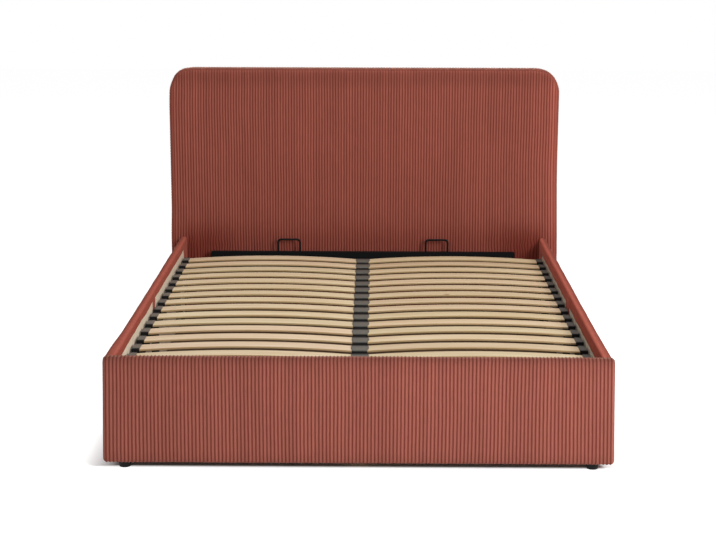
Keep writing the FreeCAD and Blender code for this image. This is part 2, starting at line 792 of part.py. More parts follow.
def angle_outline(sketch, end_name, side):
    """The angle seen from above, its inner end at the origin.

    The end leg runs along X and the side leg along Y at its outer end.
    """
    if end_name == "foot":
        corners = [(0, 0), (4 * side, 0), (4 * side, 6), (3 * side, 6), (3 * side, 1), (0, 1)]
        inner_leg = "bracket_side_leg - bracket_thickness"
        spans = ["bracket_end_leg", "bracket_side_leg", "bracket_thickness", inner_leg]
        closed_outline(sketch, corners, spans)
        return
    first = sketch.GeometryCount
    corners = [(3, 0), (4, 0), (4, 6), (0, 6), (0, 5), (3, 5)]
    points = [FreeCAD.Vector(side * x, y, 0) for x, y in corners]
    count = len(points)
    for index in range(count):
        sketch.addGeometry(Part.LineSegment(points[index], points[(index + 1) % count]), False)
        sketch.addConstraint(Sketcher.Constraint("Vertical" if index % 2 else "Horizontal", first + index))
    for index in range(count):
        sketch.addConstraint(
            Sketcher.Constraint("Coincident", first + index, 2, first + (index + 1) % count, 1)
        )
    sketch.addConstraint(Sketcher.Constraint("PointOnObject", first, 1, -1))
    sketch.addConstraint(Sketcher.Constraint("PointOnObject", first + 3, 2, -2))
    near, far = (1, 2) if side > 0 else (2, 1)
    bind(sketch, "DistanceX", (first, near, first, far), "bracket_thickness")
    bind(sketch, "DistanceY", (first + 1, 1, first + 1, 2), "bracket_side_leg")
    bind(sketch, "DistanceX", (first + 2, far, first + 2, near), "bracket_end_leg")
    bind(sketch, "DistanceY", (first + 3, 2, first + 3, 1), "bracket_thickness")


def bolt_holes(body, name, across, up):
    """Bolt holes through an upright plate, one at each pair of places."""
    sketch = new_sketch(body, "YZ_Plane", name + "_holes_sketch")
    for left in across:
        for height in up:
            circle(sketch, left, height, "bolt_diameter / 2 + bolt_clearance")
    through_pocket(body, sketch, name + "_holes")


def make_joint_plate(side_name, side):
    """The plate across the joint of the two rail halves."""
    name = "joint_plate_" + side_name
    body = new_body(name)
    sketch = new_sketch(body, "YZ_Plane", name + "_sketch")
    rectangle(sketch, "0", "0", "joint_plate_length", "joint_plate_height")
    plate = pad(body, sketch, name + "_plate", "bracket_thickness")
    round_edges(body, plate, AXIS_X, "plate_round", name + "_corners")
    across = ("bolt_edge", "joint_plate_length - bolt_edge")
    up = ("bolt_edge * 2", "bracket_foot_height - bolt_edge * 2")
    bolt_holes(body, name, across, up)
    x = low_x(side, "%s - bracket_thickness" % SEAT_X, "bracket_thickness")
    place(body, x, "%s - joint_plate_length / 2" % JOINT_Y, "bracket_low")


# Storage floor

def make_storage_floor():
    """Ledgers along the rails, a centre beam and four floor panels on them."""
    start = "%s + fabric_gap" % FOOT_INNER
    run = "frame_length - %s - 2 * fabric_gap" % FOOT_THICKNESS
    for side_name, side in SIDES:
        x = low_x(side, "%s - ledger_width" % SEAT_X, "ledger_width")
        box("floor_ledger_" + side_name, x, start, BOARD_LOW, "ledger_width", run, "ledger_height")
    box("centre_beam", "-beam_width / 2", start, BOARD_LOW, "beam_width", run, "ledger_height")
    width = "%s - storage_panel_gap * 3 / 2" % SEAT_X
    length = "(%s) / 2 - storage_panel_gap * 3 / 2" % run
    for side_name, side in SIDES:
        x = low_x(side, "storage_panel_gap / 2", width)
        for end_name, steps in (("front", "0"), ("rear", "1")):
            y = "%s + storage_panel_gap + %s * (%s + storage_panel_gap)" % (start, steps, length)
            name = "storage_panel_%s_%s" % (side_name, end_name)
            box(name, x, y, LEDGER_TOP, width, length, "storage_panel_thickness")


def make_foot(name, x, y, height):
    """A low round foot, slightly narrower at the floor, turned about its own axis."""
    body = new_body(name)
    sketch = new_sketch(body, "XZ_Plane", name + "_sketch")
    corners = [(0, 0), (3, 0), (4, 2), (0, 2)]
    points = [FreeCAD.Vector(across, up, 0) for across, up in corners]
    for start, end in zip(points, points[1:] + points[:1]):
        sketch.addGeometry(Part.LineSegment(start, end), False)
    for line in range(4):
        sketch.addConstraint(Sketcher.Constraint("Coincident", line, 2, (line + 1) % 4, 1))
    sketch.addConstraint(Sketcher.Constraint("Coincident", 0, 1, -1, 1))
    sketch.addConstraint(Sketcher.Constraint("Horizontal", 0))
    sketch.addConstraint(Sketcher.Constraint("Horizontal", 2))
    sketch.addConstraint(Sketcher.Constraint("Vertical", 3))
    bind(sketch, "DistanceX", (0, 1, 0, 2), "foot_diameter / 2 - foot_taper")
    bind(sketch, "DistanceX", (2, 2, 2, 1), "foot_diameter / 2")
    bind(sketch, "DistanceY", (3, 2, 3, 1), height)
    turned = body.newObject("PartDesign::Revolution", name + "_turned")
    turned.Profile = sketch
    turned.ReferenceAxis = (sketch, ["V_Axis"])
    turned.Angle = 360
    place(body, x, y, "0")


def make_feet():
    """Feet under the front ends of the ledgers, under the headboard's stiles and under the beam."""
    for side_name, side in SIDES:
        x = "%d * (frame_width / 2 - foot_inset)" % side
        make_foot("front_foot_" + side_name, x, "%s + foot_setback" % FOOT_FACE, BOARD_LOW)
        stile_x = "%d * (%s - stile_width / 2)" % (side, STILE_X)
        stile_y = "%s + %s / 2" % (STILE_Y, STILE_DEPTH)
        make_foot("headboard_foot_" + side_name, stile_x, stile_y, "floor_gap - fabric_gap")
    make_foot("beam_foot_front", "0", "%s - beam_foot_offset" % MID_Y, BOARD_LOW)
    make_foot("beam_foot_rear", "0", "%s + beam_foot_offset" % MID_Y, BOARD_LOW)


# Platform

def make_tube(name, role, length, x, y, z):
    """A square steel tube along Y (sketched on XZ) or along X (sketched on YZ)."""
    body = new_body(name)
    sketch = new_sketch(body, role, name + "_sketch")
    rectangle(sketch, "0", "0", "tube_size", "tube_size")
    rectangle(sketch, "tube_wall", "tube_wall", "tube_size - 2 * tube_wall", "tube_size - 2 * tube_wall")
    pad(body, sketch, name + "_tube", length)
    place(body, x, y, z)


def make_platform_tubes():
    """The platform's steel frame: side, foot, head and centre tubes, butted together."""
    for side_name, side in SIDES:
        x = low_x(side, TUBE_INNER_X, "tube_size")
        length = "%s - %s" % (SIDE_TUBE_END, PLATFORM_FOOT)
        make_tube("platform_side_tube_" + side_name, "XZ_Plane", length, x, PLATFORM_FOOT, TUBE_LOW)
    across = "2 * %s" % TUBE_INNER_X
    make_tube("platform_foot_tube", "YZ_Plane", across, "-%s" % TUBE_INNER_X, PLATFORM_FOOT, TUBE_LOW)
    make_tube("platform_head_tube", "YZ_Plane", across, "-%s" % TUBE_INNER_X, HEAD_TUBE_LOW_Y, TUBE_LOW)
    start = "%s + tube_size" % PLATFORM_FOOT
    length = "%s - (%s)" % (HEAD_TUBE_LOW_Y, start)
    make_tube("platform_centre_tube", "XZ_Plane", length, "-tube_size / 2", start, TUBE_LOW)


def make_head_bar():
    """The bar behind the mattress, carried on two short arms from the head tube."""
    z = "%s - tube_size" % BAR_TOP
    make_tube("head_bar", "YZ_Plane", "2 * %s" % BAR_END, "-%s" % BAR_END, BAR_LOW_Y, z)
    start = "%s + tube_size" % HEAD_TUBE_LOW_Y
    length = "%s - (%s)" % (BAR_LOW_Y, start)
    for side_name, side in SIDES:
        x = low_x(side, "%s - head_arm_inset - tube_size" % BAR_END, "tube_size")
        make_tube("head_bar_arm_" + side_name, "XZ_Plane", length, x, start, TUBE_LOW)


def make_mattress_loop(side_name, side):
    """A bent wire loop that stands on the head bar."""
    size = amount_of
    centre = side * size("loop_offset")
    y = number(BAR_LOW_Y) + size("tube_size") / 2
    low = number(BAR_TOP)
    high = low + size("loop_height")
    half = size("loop_width") / 2
    bend = size("loop_bend")
    knee = bend * (1 - math.sqrt(0.5))
    points = [
        FreeCAD.Vector(centre - half, y, low),
        FreeCAD.Vector(centre - half, y, high - bend),
        FreeCAD.Vector(centre - half + knee, y, high - knee),
        FreeCAD.Vector(centre - half + bend, y, high),
        FreeCAD.Vector(centre + half - bend, y, high),
        FreeCAD.Vector(centre + half - knee, y, high - knee),
        FreeCAD.Vector(centre + half, y, high - bend),
        FreeCAD.Vector(centre + half, y, low),
    ]
    path = Part.Wire([
        Part.makeLine(points[0], points[1]),
        Part.Arc(points[1], points[2], points[3]).toShape(),
        Part.makeLine(points[3], points[4]),
        Part.Arc(points[4], points[5], points[6]).toShape(),
        Part.makeLine(points[6], points[7]),
    ])
    section = Part.Wire(Part.makeCircle(size("loop_wire") / 2, points[0], AXIS_Z))
    shaped("mattress_loop_" + side_name, path.makePipeShell([section], True, False))


def slat_rows():
    """Y of each slat's centre, from the head to the foot."""
    size = amount_of
    count = int(size("slat_count"))
    first = number(FIRST_SLAT_Y)
    pitch = (first - number(LAST_SLAT_Y)) / (count - 1)
    return [first - step * pitch for step in range(count)]


def make_slats(side_name, side):
    """One column of sprung slats, their ends in the holders' pockets."""
    size = amount_of
    low = number(TUBE_TOP) + size("holder_base") + size("holder_clearance")
    wall = size("holder_wall")
    clear = size("holder_clearance")
    start = wall / 2 + clear
    end = number(TUBE_OUTER_X) - wall - clear
    tab_start = size("centre_holder_length") / 2 - start
    tab_end = size("holder_length") - wall - clear
    outline = slat_outline(start, end, tab_start, tab_end, low, size("slat_thickness"), size("slat_rise"))
    slats = []
    for y in slat_rows():
        slat = outline.copy()
        slat.translate(FreeCAD.Vector(0, y - size("slat_width") / 2, 0))
        slat = slat.extrude(AXIS_Y * size("slat_width"))
        if side < 0:
            slat = slat.mirror(FreeCAD.Vector(), AXIS_X)
        slats.append(slat)
    shaped("slats_" + side_name, Part.makeCompound(slats))


def holder_height(size):
    slot = size("slat_thickness") + 2 * size("holder_clearance")
    return size("holder_base") + slot + size("holder_cover")


def holder(low_corner, length, pockets, size):
    """A plastic slat holder: a block with one or two pockets open towards the slats.

    pockets lists the X span of each pocket.
    """
    width = size("slat_width") + 2 * (size("holder_wall") + size("holder_clearance"))
    x, y, z = low_corner
    shape = block(low_corner, (x + length, y + width, z + holder_height(size)))
    top = straight_edges(shape, AXIS_Y, lambda point: point.z > z + size("holder_base"))
    top += straight_edges(shape, AXIS_X, lambda point: point.z > z + size("holder_base"))
    shape = shape.makeFillet(size("holder_wall") / 2, top)
    for start, end in pockets:
        pocket = block(
            (start, y + size("holder_wall"), z + size("holder_base")),
            (end, y + width - size("holder_wall"), z + holder_height(size) - size("holder_cover")),
        )
        shape = shape.cut(pocket)
    return shape


def make_holders():
    """Holders on the side tubes and double holders on the centre tube, one per slat."""
    size = amount_of
    top = number(TUBE_TOP)
    reach = size("slat_width") / 2 + size("holder_wall") + size("holder_clearance")
    outer = number(TUBE_OUTER_X)
    length = size("holder_length")
    wall = size("holder_wall")
    over = size("overrun")
    rights = []
    for y in slat_rows():
        corner = (outer - length, y - reach, top)
        rights.append(holder(corner, length, [(outer - length - over, outer - wall)], size))
    lefts = [item.mirror(FreeCAD.Vector(), AXIS_X) for item in rights]
    shaped("slat_holders_left", Part.makeCompound(lefts))
    shaped("slat_holders_right", Part.makeCompound(rights))
    half = size("centre_holder_length") / 2
    centres = []
    for y in slat_rows():
        pockets = [(-half - over, -wall / 2), (wall / 2, half + over)]
        centres.append(holder((-half, y - reach, top), 2 * half, pockets, size))
    shaped("slat_holders_centre", Part.makeCompound(centres))


def make_pull_strap():
    """The webbing handle on top of the foot tube, hidden behind the footboard."""
    size = amount_of
    half = size("strap_span") / 2
    low = number(TUBE_TOP) + size("rest_gap")
    tab = size("strap_tab")
    outline = slat_outline(-half, half, tab, tab, low, size("strap_thickness"), size("strap_rise"))
    outline.translate(AXIS_Y * number("%s + (tube_size - strap_width) / 2" % PLATFORM_FOOT))
    shaped("pull_strap", outline.extrude(AXIS_Y * size("strap_width")))


# Lifting hardware

def hinge_plate_low_y():
    return "(%s - strut_foot_forward - hinge_plate_margin)" % PIVOT_Y


def hinge_plate_width():
    return "(strut_foot_forward + 2 * hinge_plate_margin)"


def hinge_plate_low_z():
    return "(%s - strut_foot_drop - strut_eye_diameter / 2)" % PIVOT_Z


def hinge_plate_height():
    return "(strut_foot_drop + strut_eye_diameter / 2 + pivot_drop + pivot_diameter / 2)"


def make_hinge_plate(side_name, side):
    """The plate on the rail's board with the pivot stud and the strut's foot stud."""
    name = "hinge_plate_" + side_name
    body = new_body(name)
    sketch = new_sketch(body, "YZ_Plane", name + "_sketch")
    width = hinge_plate_width()
    height = hinge_plate_height()
    rectangle(sketch, "0", "0", width, height)
    plate = pad(body, sketch, name + "_plate", "hinge_plate_thickness")
    round_edges(body, plate, AXIS_X, "plate_round", name + "_corners")
    across_holes = ("bolt_edge", "%s - bolt_edge" % width)
    up_holes = ("bolt_edge", "%s - bolt_edge" % height)
    bolt_holes(body, name, across_holes, up_holes)
    inner_face = "0" if side > 0 else "hinge_plate_thickness"
    pivot_across = "%s - %s" % (PIVOT_Y, hinge_plate_low_y())
    pivot_up = "%s - %s" % (PIVOT_Z, hinge_plate_low_z())
    pivot_reach = "%s - %s + lift_arm_thickness + strut_pin_end" % (HINGE_PLATE_X, ARM_OUTER_X)
    foot_up = "strut_eye_diameter / 2"
    foot_reach = "%s - %s + strut_inset + strut_eye_width / 2" % (HINGE_PLATE_X, TUBE_OUTER_X)
    studs = (
        ("pivot", pivot_across, pivot_up, "pivot_diameter / 2", pivot_reach),
        ("strut", "hinge_plate_margin", foot_up, "strut_pin_diameter / 2", foot_reach),
    )
    for stud_name, across, up, radius, reach in studs:
        stud_sketch = new_sketch(body, "YZ_Plane", "%s_%s_sketch" % (name, stud_name))
        circle(stud_sketch, across, up, radius)
        stud_sketch.setExpression("AttachmentOffset.Base.z", expression(inner_face))
        stud = pad(body, stud_sketch, "%s_%s_stud" % (name, stud_name), reach)
        stud.Reversed = side > 0
    x = low_x(side, HINGE_PLATE_X, "hinge_plate_thickness")
    place(body, x, hinge_plate_low_y(), hinge_plate_low_z())


def make_lift_arm(side_name, side):
    """The plate under the side tube with the pivot bore and the slot of the strut's pin."""
    name = "lift_arm_" + side_name
    body = new_body(name)
    rear = "lift_arm_rear"
    front = "(strut_lug_forward + lift_arm_rear)"
    sketch = new_sketch(body, "YZ_Plane", name + "_sketch")
    rectangle(sketch, "0", "0", "%s + %s" % (rear, front), "lift_arm_height")
    plate = pad(body, sketch, name + "_plate", "lift_arm_thickness")
    round_edges(body, plate, AXIS_X, "lift_arm_round", name + "_corners")
    bore_sketch = new_sketch(body, "YZ_Plane", name + "_bore_sketch")
    circle(bore_sketch, front, "lift_arm_height - pivot_drop", "pivot_diameter / 2 + pivot_clearance")
    through_pocket(body, bore_sketch, name + "_bore")
    lug_up = "(lift_arm_height - pivot_drop - strut_lug_drop)"
    slot_half = "(strut_pin_diameter / 2 + strut_slot_clearance)"
    middle = new_sketch(body, "YZ_Plane", name + "_slot_sketch")
    low = "%s - strut_slot_travel" % lug_up
    rectangle(middle, "lift_arm_rear - %s" % slot_half, low, "2 * %s" % slot_half, "2 * strut_slot_travel")
    through_pocket(body, middle, name + "_slot")
    for end_name, sign in (("low", "-"), ("high", "+")):
        end_sketch = new_sketch(body, "YZ_Plane", "%s_slot_%s_sketch" % (name, end_name))
        circle(end_sketch, "lift_arm_rear", "%s %s strut_slot_travel" % (lug_up, sign), slot_half)
        through_pocket(body, end_sketch, "%s_slot_%s" % (name, end_name))
    x = low_x(side, "%s - lift_arm_thickness" % ARM_OUTER_X, "lift_arm_thickness")
    place(body, x, "%s - %s" % (PIVOT_Y, front), "%s - lift_arm_height" % TUBE_LOW)


def strut_frame(side, size):
    """Place of the strut: its foot pin, its direction towards the lug and its closed length."""
    x = side * (number(TUBE_OUTER_X) - size("strut_inset"))
    pivot_y = number(PIVOT_Y)
    pivot_z = number(PIVOT_Z)
    foot = FreeCAD.Vector(x, pivot_y - size("strut_foot_forward"), pivot_z - size("strut_foot_drop"))
    lug = FreeCAD.Vector(x, pivot_y - size("strut_lug_forward"), pivot_z - size("strut_lug_drop"))
    length = (lug - foot).Length
    return foot, lug, (lug - foot).normalize(), length


def eye(centre, bore_radius, size):
    """A flat disc about X with or without a bore."""
    width = size("strut_eye_width")
    start = centre - AXIS_X * (width / 2)
    ring = rod_along(start, AXIS_X, size("strut_eye_diameter") / 2, width)
    if bore_radius:
        over = AXIS_X * size("overrun")
        ring = ring.cut(rod_along(start - over, AXIS_X, bore_radius, width + 2 * size("overrun")))
    return ring


def make_strut(side_name, side):
    """A gas strut: the cylinder on the hinge plate's stud and the rod with its cross pin."""
    size = amount_of
    foot, lug, along, length = strut_frame(side, size)
    start = size("cylinder_start")
    end = size("cylinder_end")
    barrel = rod_along(foot + along * start, along, size("cylinder_diameter") / 2, end - start)
    rims = [edge for edge in barrel.Edges if isinstance(edge.Curve, Part.Circle)]
    barrel = barrel.makeFillet(size("cylinder_cap") / 3, rims)
    neck = rod_along(foot, along, size("cylinder_neck") / 2, start + size("cylinder_cap"))
    cap = size("cylinder_cap")
    bore_run = end - start - 2 * cap
    bore = rod_along(foot + along * (start + cap), along, size("cylinder_bore") / 2, bore_run)
    gland_radius = size("rod_diameter") / 2 + size("rod_clearance")
    gland = rod_along(foot + along * (end - 2 * cap), along, gland_radius, 2 * cap + size("overrun"))
    pin_bore_radius = size("strut_pin_diameter") / 2 + size("pivot_clearance")
    pin_bore = rod_along(foot - AXIS_X * size("strut_eye_width"), AXIS_X, pin_bore_radius,
                         2 * size("strut_eye_width"))
    cylinder = barrel.fuse([neck, eye(foot, 0, size)]).cut([bore, gland, pin_bore])
    shaped("strut_cylinder_" + side_name, cylinder.removeSplitter())
    rod_end = length - size("strut_eye_diameter") / 4
    rod = rod_along(foot + along * size("rod_start"), along, size("rod_diameter") / 2,
                    rod_end - size("rod_start"))
    arm_inner = number(ARM_OUTER_X) - size("lift_arm_thickness")
    strut_x = number(TUBE_OUTER_X) - size("strut_inset")
    washer_start = number(ARM_OUTER_X) + size("rest_gap")
    outward = AXIS_X * side
    to_washer = washer_start - strut_x
    washer_radius = size("strut_washer_diameter") / 2
    pin = rod_along(lug, outward, size("strut_pin_diameter") / 2, to_washer + size("strut_pin_end"))
    washer = rod_along(lug + outward * to_washer, outward, washer_radius, size("strut_pin_end"))
    collar = rod_along(lug, outward, washer_radius, arm_inner - strut_x - size("rest_gap"))
    shaped("strut_rod_" + side_name, rod.fuse([eye(lug, 0, size), pin, washer, collar]).removeSplitter())


# Build everything

probe = doc.addObject("Part::Sphere", "probe")
probe.Label = "reading_probe"

make_headboard_upholstery()
make_headboard_board()
make_headboard_frame()
make_footboard()
for side_name, side in SIDES:
    for end_name in ("front", "rear"):
        make_side_rail(side_name, side, end_name)
for end_name in ("foot", "head"):
    for side_name, side in SIDES:
        make_corner_bracket(end_name, side_name, side)
for side_name, side in SIDES:
    make_joint_plate(side_name, side)
    make_hinge_plate(side_name, side)
    make_lift_arm(side_name, side)
    make_strut(side_name, side)
    make_mattress_loop(side_name, side)
    make_slats(side_name, side)
make_frame_bolts()
make_storage_floor()
make_feet()
make_platform_tubes()
make_head_bar()
make_holders()
make_pull_strap()
doc.removeObject("probe")
doc.recompute()

# Check every object before anything is written
for item in doc.Objects:
    if "Invalid" in item.State or "Error" in item.State:
        raise RuntimeError("%s failed: %s" % (item.Label, item.State))
for item in sub_parts:
    if item.Shape.isNull() or not item.Shape.isValid() or not item.Shape.Solids:
        raise RuntimeError("%s has no valid solid" % item.Label)

os.makedirs("parts", exist_ok=True)
for item in sub_parts:
    item.Shape.exportStep("parts/%s.step" % item.Label)
print("%d sub-parts written" % len(sub_parts))
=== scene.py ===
import math

import bmesh
import bpy
import numpy as np
from mathutils import Matrix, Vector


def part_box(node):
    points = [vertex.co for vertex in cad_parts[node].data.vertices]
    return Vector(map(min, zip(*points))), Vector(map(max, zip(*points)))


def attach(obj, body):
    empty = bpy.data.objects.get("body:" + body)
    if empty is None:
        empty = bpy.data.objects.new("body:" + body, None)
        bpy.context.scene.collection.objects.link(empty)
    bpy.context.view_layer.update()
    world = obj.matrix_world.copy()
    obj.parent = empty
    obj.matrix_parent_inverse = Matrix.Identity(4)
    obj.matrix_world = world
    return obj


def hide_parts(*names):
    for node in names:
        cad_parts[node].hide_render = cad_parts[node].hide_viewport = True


bl_info = {
    "name": "Storage bed finish",
    "version": (1, 0, 0),
    "blender": (4, 5, 0),
    "location": "View3D > Sidebar > Storage bed",
    "description": "Ribbed covers, slats, finishes and a plain studio around the packed bed frame",
    "category": "Object",
}

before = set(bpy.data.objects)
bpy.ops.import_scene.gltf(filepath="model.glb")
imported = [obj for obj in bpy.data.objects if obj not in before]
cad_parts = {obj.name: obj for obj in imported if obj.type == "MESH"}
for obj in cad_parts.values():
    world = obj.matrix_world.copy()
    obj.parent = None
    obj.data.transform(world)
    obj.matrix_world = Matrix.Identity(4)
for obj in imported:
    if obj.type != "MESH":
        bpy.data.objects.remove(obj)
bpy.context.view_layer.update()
SIDES = (("left", -1), ("right", 1))


# Colours, written as the screen shows them and stored as Blender wants them

def shade(red, green, blue):
    """A colour given in 0 to 255 screen values, as linear red, green, blue and alpha."""
    channels = np.array([red, green, blue]) / 255
    linear = np.where(channels <= 0.04045, channels / 12.92, ((channels + 0.055) / 1.055) ** 2.4)
    return (*linear.tolist(), 1.0)


def colour(name, description, red, green, blue):
    """A colour property with its default."""
    return bpy.props.FloatVectorProperty(
        name=name,
        description=description,
        subtype="COLOR",
        size=4,
        min=0,
        max=1,
        default=shade(red, green, blue),
    )


def length(name, description, default):
    """A length property in metres."""
    return bpy.props.FloatProperty(
        name=name, description=description, default=default, min=0, unit="LENGTH", precision=4
    )


def share(name, description, default):
    """A property from 0 to 1."""
    return bpy.props.FloatProperty(
        name=name, description=description, default=default, min=0, max=1, subtype="FACTOR"
    )


class CoverSettings(bpy.types.PropertyGroup):
    rib_pitch: length("Rib pitch", "Distance between two grooves of the ribbed cloth", 0.01215)
    rib_depth: length("Rib depth", "Height of a rib above its grooves", 0.0026)
    rib_wander: length("Rib wander", "How far a rib strays from its straight line", 0.0006)
    softness: length("Softness", "Slow unevenness of the padding under the cloth", 0.0012)
    puff: length("Puff", "How far the padding swells past its board", 0.004)
    crest: colour("Crest", "Colour of the cloth on top of the ribs", 154, 92, 79)
    groove: colour("Groove", "Colour of the cloth in the grooves", 101, 35, 24)
    # Painted shade: the headboard's cloth is the boards' cloth, given darker, deeper colours for the weaker light it
    # gets.
    headboard_crest_shaded: colour("Headboard crest", "The same on the headboard, with its own nap", 149, 85, 72)
    headboard_groove_shaded: colour("Headboard groove", "The same in the headboard's grooves", 102, 31, 19)
    lining: colour("Lining", "Colour of the thin cloth on the headboard's back", 52, 50, 50)


class WoodSettings(bpy.types.PropertyGroup):
    slat_light: colour("Slat, light", "Pale part of the slats' veneer", 221, 206, 177)
    slat_dark: colour("Slat, dark", "Grain lines of the slats' veneer", 193, 167, 131)
    knot: colour("Knot", "Small knots in the slats", 112, 74, 44)
    board_light: colour("Board, light", "Pale flakes of the bare boards", 236, 221, 198)
    board_dark: colour("Board, dark", "Darker flakes of the bare boards", 208, 188, 162)
    timber_light: colour("Timber, light", "Pale part of the softwood battens", 214, 184, 140)
    timber_dark: colour("Timber, dark", "Grain of the softwood battens", 168, 130, 86)
    panel_light: colour("Panel, light", "Pale fibres of the storage floor", 96, 68, 40)
    panel_dark: colour("Panel, dark", "Dark fibres of the storage floor", 70, 47, 26)
    edge_radius: length("Slat edge", "Rounding of the slats' long edges", 0.0022)


class HardwareSettings(bpy.types.PropertyGroup):
    coat: colour("Powder coat", "Colour of the coated tubes, plates and loops", 10, 11, 12)
    zinc: colour("Zinc", "Colour of the bolts", 168, 168, 165)
    chrome: colour("Chrome", "Colour of the gas struts' rods", 200, 200, 202)
    # Painted light and shade: the holders' plastic is painted lit on its tops, in shade on its sides and, at the right,
    # in shade on its tops too.
    holder: colour("Holder, top", "Colour of the slat holders' scuffed tops", 110, 103, 95)
    holder_right_shaded: colour("Holder, right top", "The same at the right, where they are less scuffed", 84, 83, 77)
    holder_middle: colour("Holder, middle top", "The same on the middle line", 102, 98, 90)
    holder_shaded_side: colour("Holder, side", "Colour of the slat holders' sides", 20, 20, 20)
    foot: colour("Foot", "Colour of the plastic feet", 14, 13, 13)
    webbing: colour("Webbing", "Colour of the pull strap", 34, 33, 33)


class StageSettings(bpy.types.PropertyGroup):
    floor: colour("Floor", "Colour of the floor", 246, 246, 246)
    ambient: bpy.props.FloatProperty(
        name="Ambient", description="Strength of the even light", default=0.31, min=0
    )
    key: bpy.props.FloatProperty(
        name="Key", description="Strength of the soft light from the right", default=204, min=0, unit="POWER"
    )


# Meshes from grids

def grid_faces(rows, columns, start=0, closed=False):
    """Quads of a grid whose points are numbered row by row from start; closed joins the last row to the first."""
    last = rows if closed else rows - 1
    row, column = np.meshgrid(np.arange(last), np.arange(columns - 1), indexing="ij")
    after = (row + 1) % rows
    quads = [row * columns + column, row * columns + column + 1, after * columns + column + 1, after * columns + column]
    return np.stack(quads, axis=-1).reshape(-1, 4) + start


def tube_faces(rows, columns, start=0):
    """Faces of a closed tube whose sections are the columns, with a cap on both ends."""
    faces = grid_faces(rows, columns, start, closed=True).tolist()
    faces.append((start + np.arange(rows) * columns).tolist())
    faces.append((start + np.arange(rows) * columns + columns - 1)[::-1].tolist())
    return faces


def grid_rim(rows, columns):
    """The border points of a grid, once around: first row, last column, last row back, first column back."""
    return np.concatenate(
        [
            np.arange(columns),
            np.arange(1, rows) * columns + columns - 1,
            (rows - 1) * columns + np.arange(columns - 2, -1, -1),
            np.arange(rows - 2, 0, -1) * columns,
        ]
    )


def build_piece(name, points, faces, values, materials, smooth_angle=None):
    """One mesh object from points, faces and named values per point, its faces turned outwards."""
    mesh = bpy.data.meshes.new(name)
    mesh.from_pydata(points.tolist(), [], faces)
    for label, amounts in values.items():
        layer = mesh.attributes.new(label, "FLOAT", "POINT")
        layer.data.foreach_set("value", np.asarray(amounts, np.float32))
    shape = bmesh.new()
    shape.from_mesh(mesh)
    bmesh.ops.recalc_face_normals(shape, faces=shape.faces)
    shape.to_mesh(mesh)
    shape.free()
    mesh.polygons.foreach_set("use_smooth", np.ones(len(mesh.polygons), bool))
    if smooth_angle is not None:
        mesh.set_sharp_from_angle(angle=smooth_angle)
    for material in materials:
        mesh.materials.append(material)
    piece = bpy.data.objects.new(name, mesh)
    bpy.context.scene.collection.objects.link(piece)
    return piece


def drift(across, along, reach, seed):
    """Slow unevenness from about -1 to 1: the mean of six slanted waves, each about reach long, with seeded phases."""
    random = np.random.default_rng(seed)
    total = np.zeros(np.broadcast(across, along).shape)
    for _ in range(6):
        heading = random.uniform(0, 2 * math.pi)
        rate = 2 * math.pi * random.uniform(0.6, 1.6) / reach
        place = across * math.cos(heading) + along * math.sin(heading)
        total += np.sin(rate * place + random.uniform(0, 2 * math.pi))
    return total / 3.5


def smooth_step(amount):
    """0 below 0, 1 above 1, and a soft S between them."""
    amount = np.clip(amount, 0, 1)
    return amount * amount * (3 - 2 * amount)


def rounded_path(corners, radii, spans, turn_steps):
    """Points along a line of straight legs whose corners are rounded.

    Each leg is divided in equal spans; each corner is an arc that touches both its legs, its radius from radii.
    """
    corners = [np.array(corner, float) for corner in corners]
    legs = []
    cursor = corners[0]
    for before, corner, after, radius, span in zip(corners, corners[1:], corners[2:], radii, spans):
        inward = (before - corner) / np.linalg.norm(before - corner)
        outward = (after - corner) / np.linalg.norm(after - corner)
        half = math.acos(float(np.clip(inward @ outward, -1, 1))) / 2
        touch = radius / math.tan(half)
        start = corner + inward * touch
        end = corner + outward * touch
        steps = np.linspace(0, 1, span, endpoint=False)[:, None]
        legs.append(cursor + (start - cursor) * steps)
        if radius > 0:
            bisector = (inward + outward) / np.linalg.norm(inward + outward)
            centre = corner + bisector * radius / math.sin(half)
            first = start - centre
            second = end - centre
            sweep = math.pi - 2 * half
            turn = np.linspace(0, 1, turn_steps, endpoint=False)[:, None]
            arc = (np.sin((1 - turn) * sweep) * first + np.sin(turn * sweep) * second) / math.sin(sweep)
            legs.append(centre + arc)
        cursor = end
    steps = np.linspace(0, 1, spans[-1] + 1)[:, None]
    legs.append(cursor + (corners[-1] - cursor) * steps)
    return np.concatenate(legs)


def path_normals(points):
    """Unit normals to the left of a line's direction, from the slope at each point."""
    slope = np.gradient(points, axis=0)
    normals = np.stack([-slope[:, 1], slope[:, 0]], axis=1)
    return normals / np.linalg.norm(normals, axis=1, keepdims=True)


# Ribbed cloth

RIB_FRACTIONS = np.array([0.0, 0.07, 0.2, 0.35, 0.5, 0.65, 0.8, 0.93])
RIB_SHARPNESS = 0.62
TONE_SPREAD = 0.06


def rib_turns(count):
    """Places across a run of ribs, in ribs, close together at each groove."""
    return np.append((np.arange(count)[:, None] + RIB_FRACTIONS).ravel(), count)


def rib_height(turns):
    """A rib's height, 0 in the groove and 1 on its crest: a sine's absolute value raised to a power below 1."""
    return np.abs(np.sin(np.pi * turns)) ** RIB_SHARPNESS


def rib_shade(turns):
    """How light a rib is, 0 in the groove and 1 on its crest: a sine's absolute value."""
    return np.abs(np.sin(np.pi * turns))


def stray(across, along, seed):
    """How a rib strays: a slow drift and a weaker quick one."""
    return drift(across, along, 0.35, seed) + 0.4 * drift(across, along, 0.08, seed + 500)


def rib_tone(turns, seed):
    """A tone from -1 to 1 for each rib, the same across the rib."""
    tones = np.random.default_rng(seed).uniform(-1, 1, int(math.ceil(turns.max())) + 2)
    return tones[np.floor(turns + 1e-6).astype(int)]


# Cloth settled on its padding

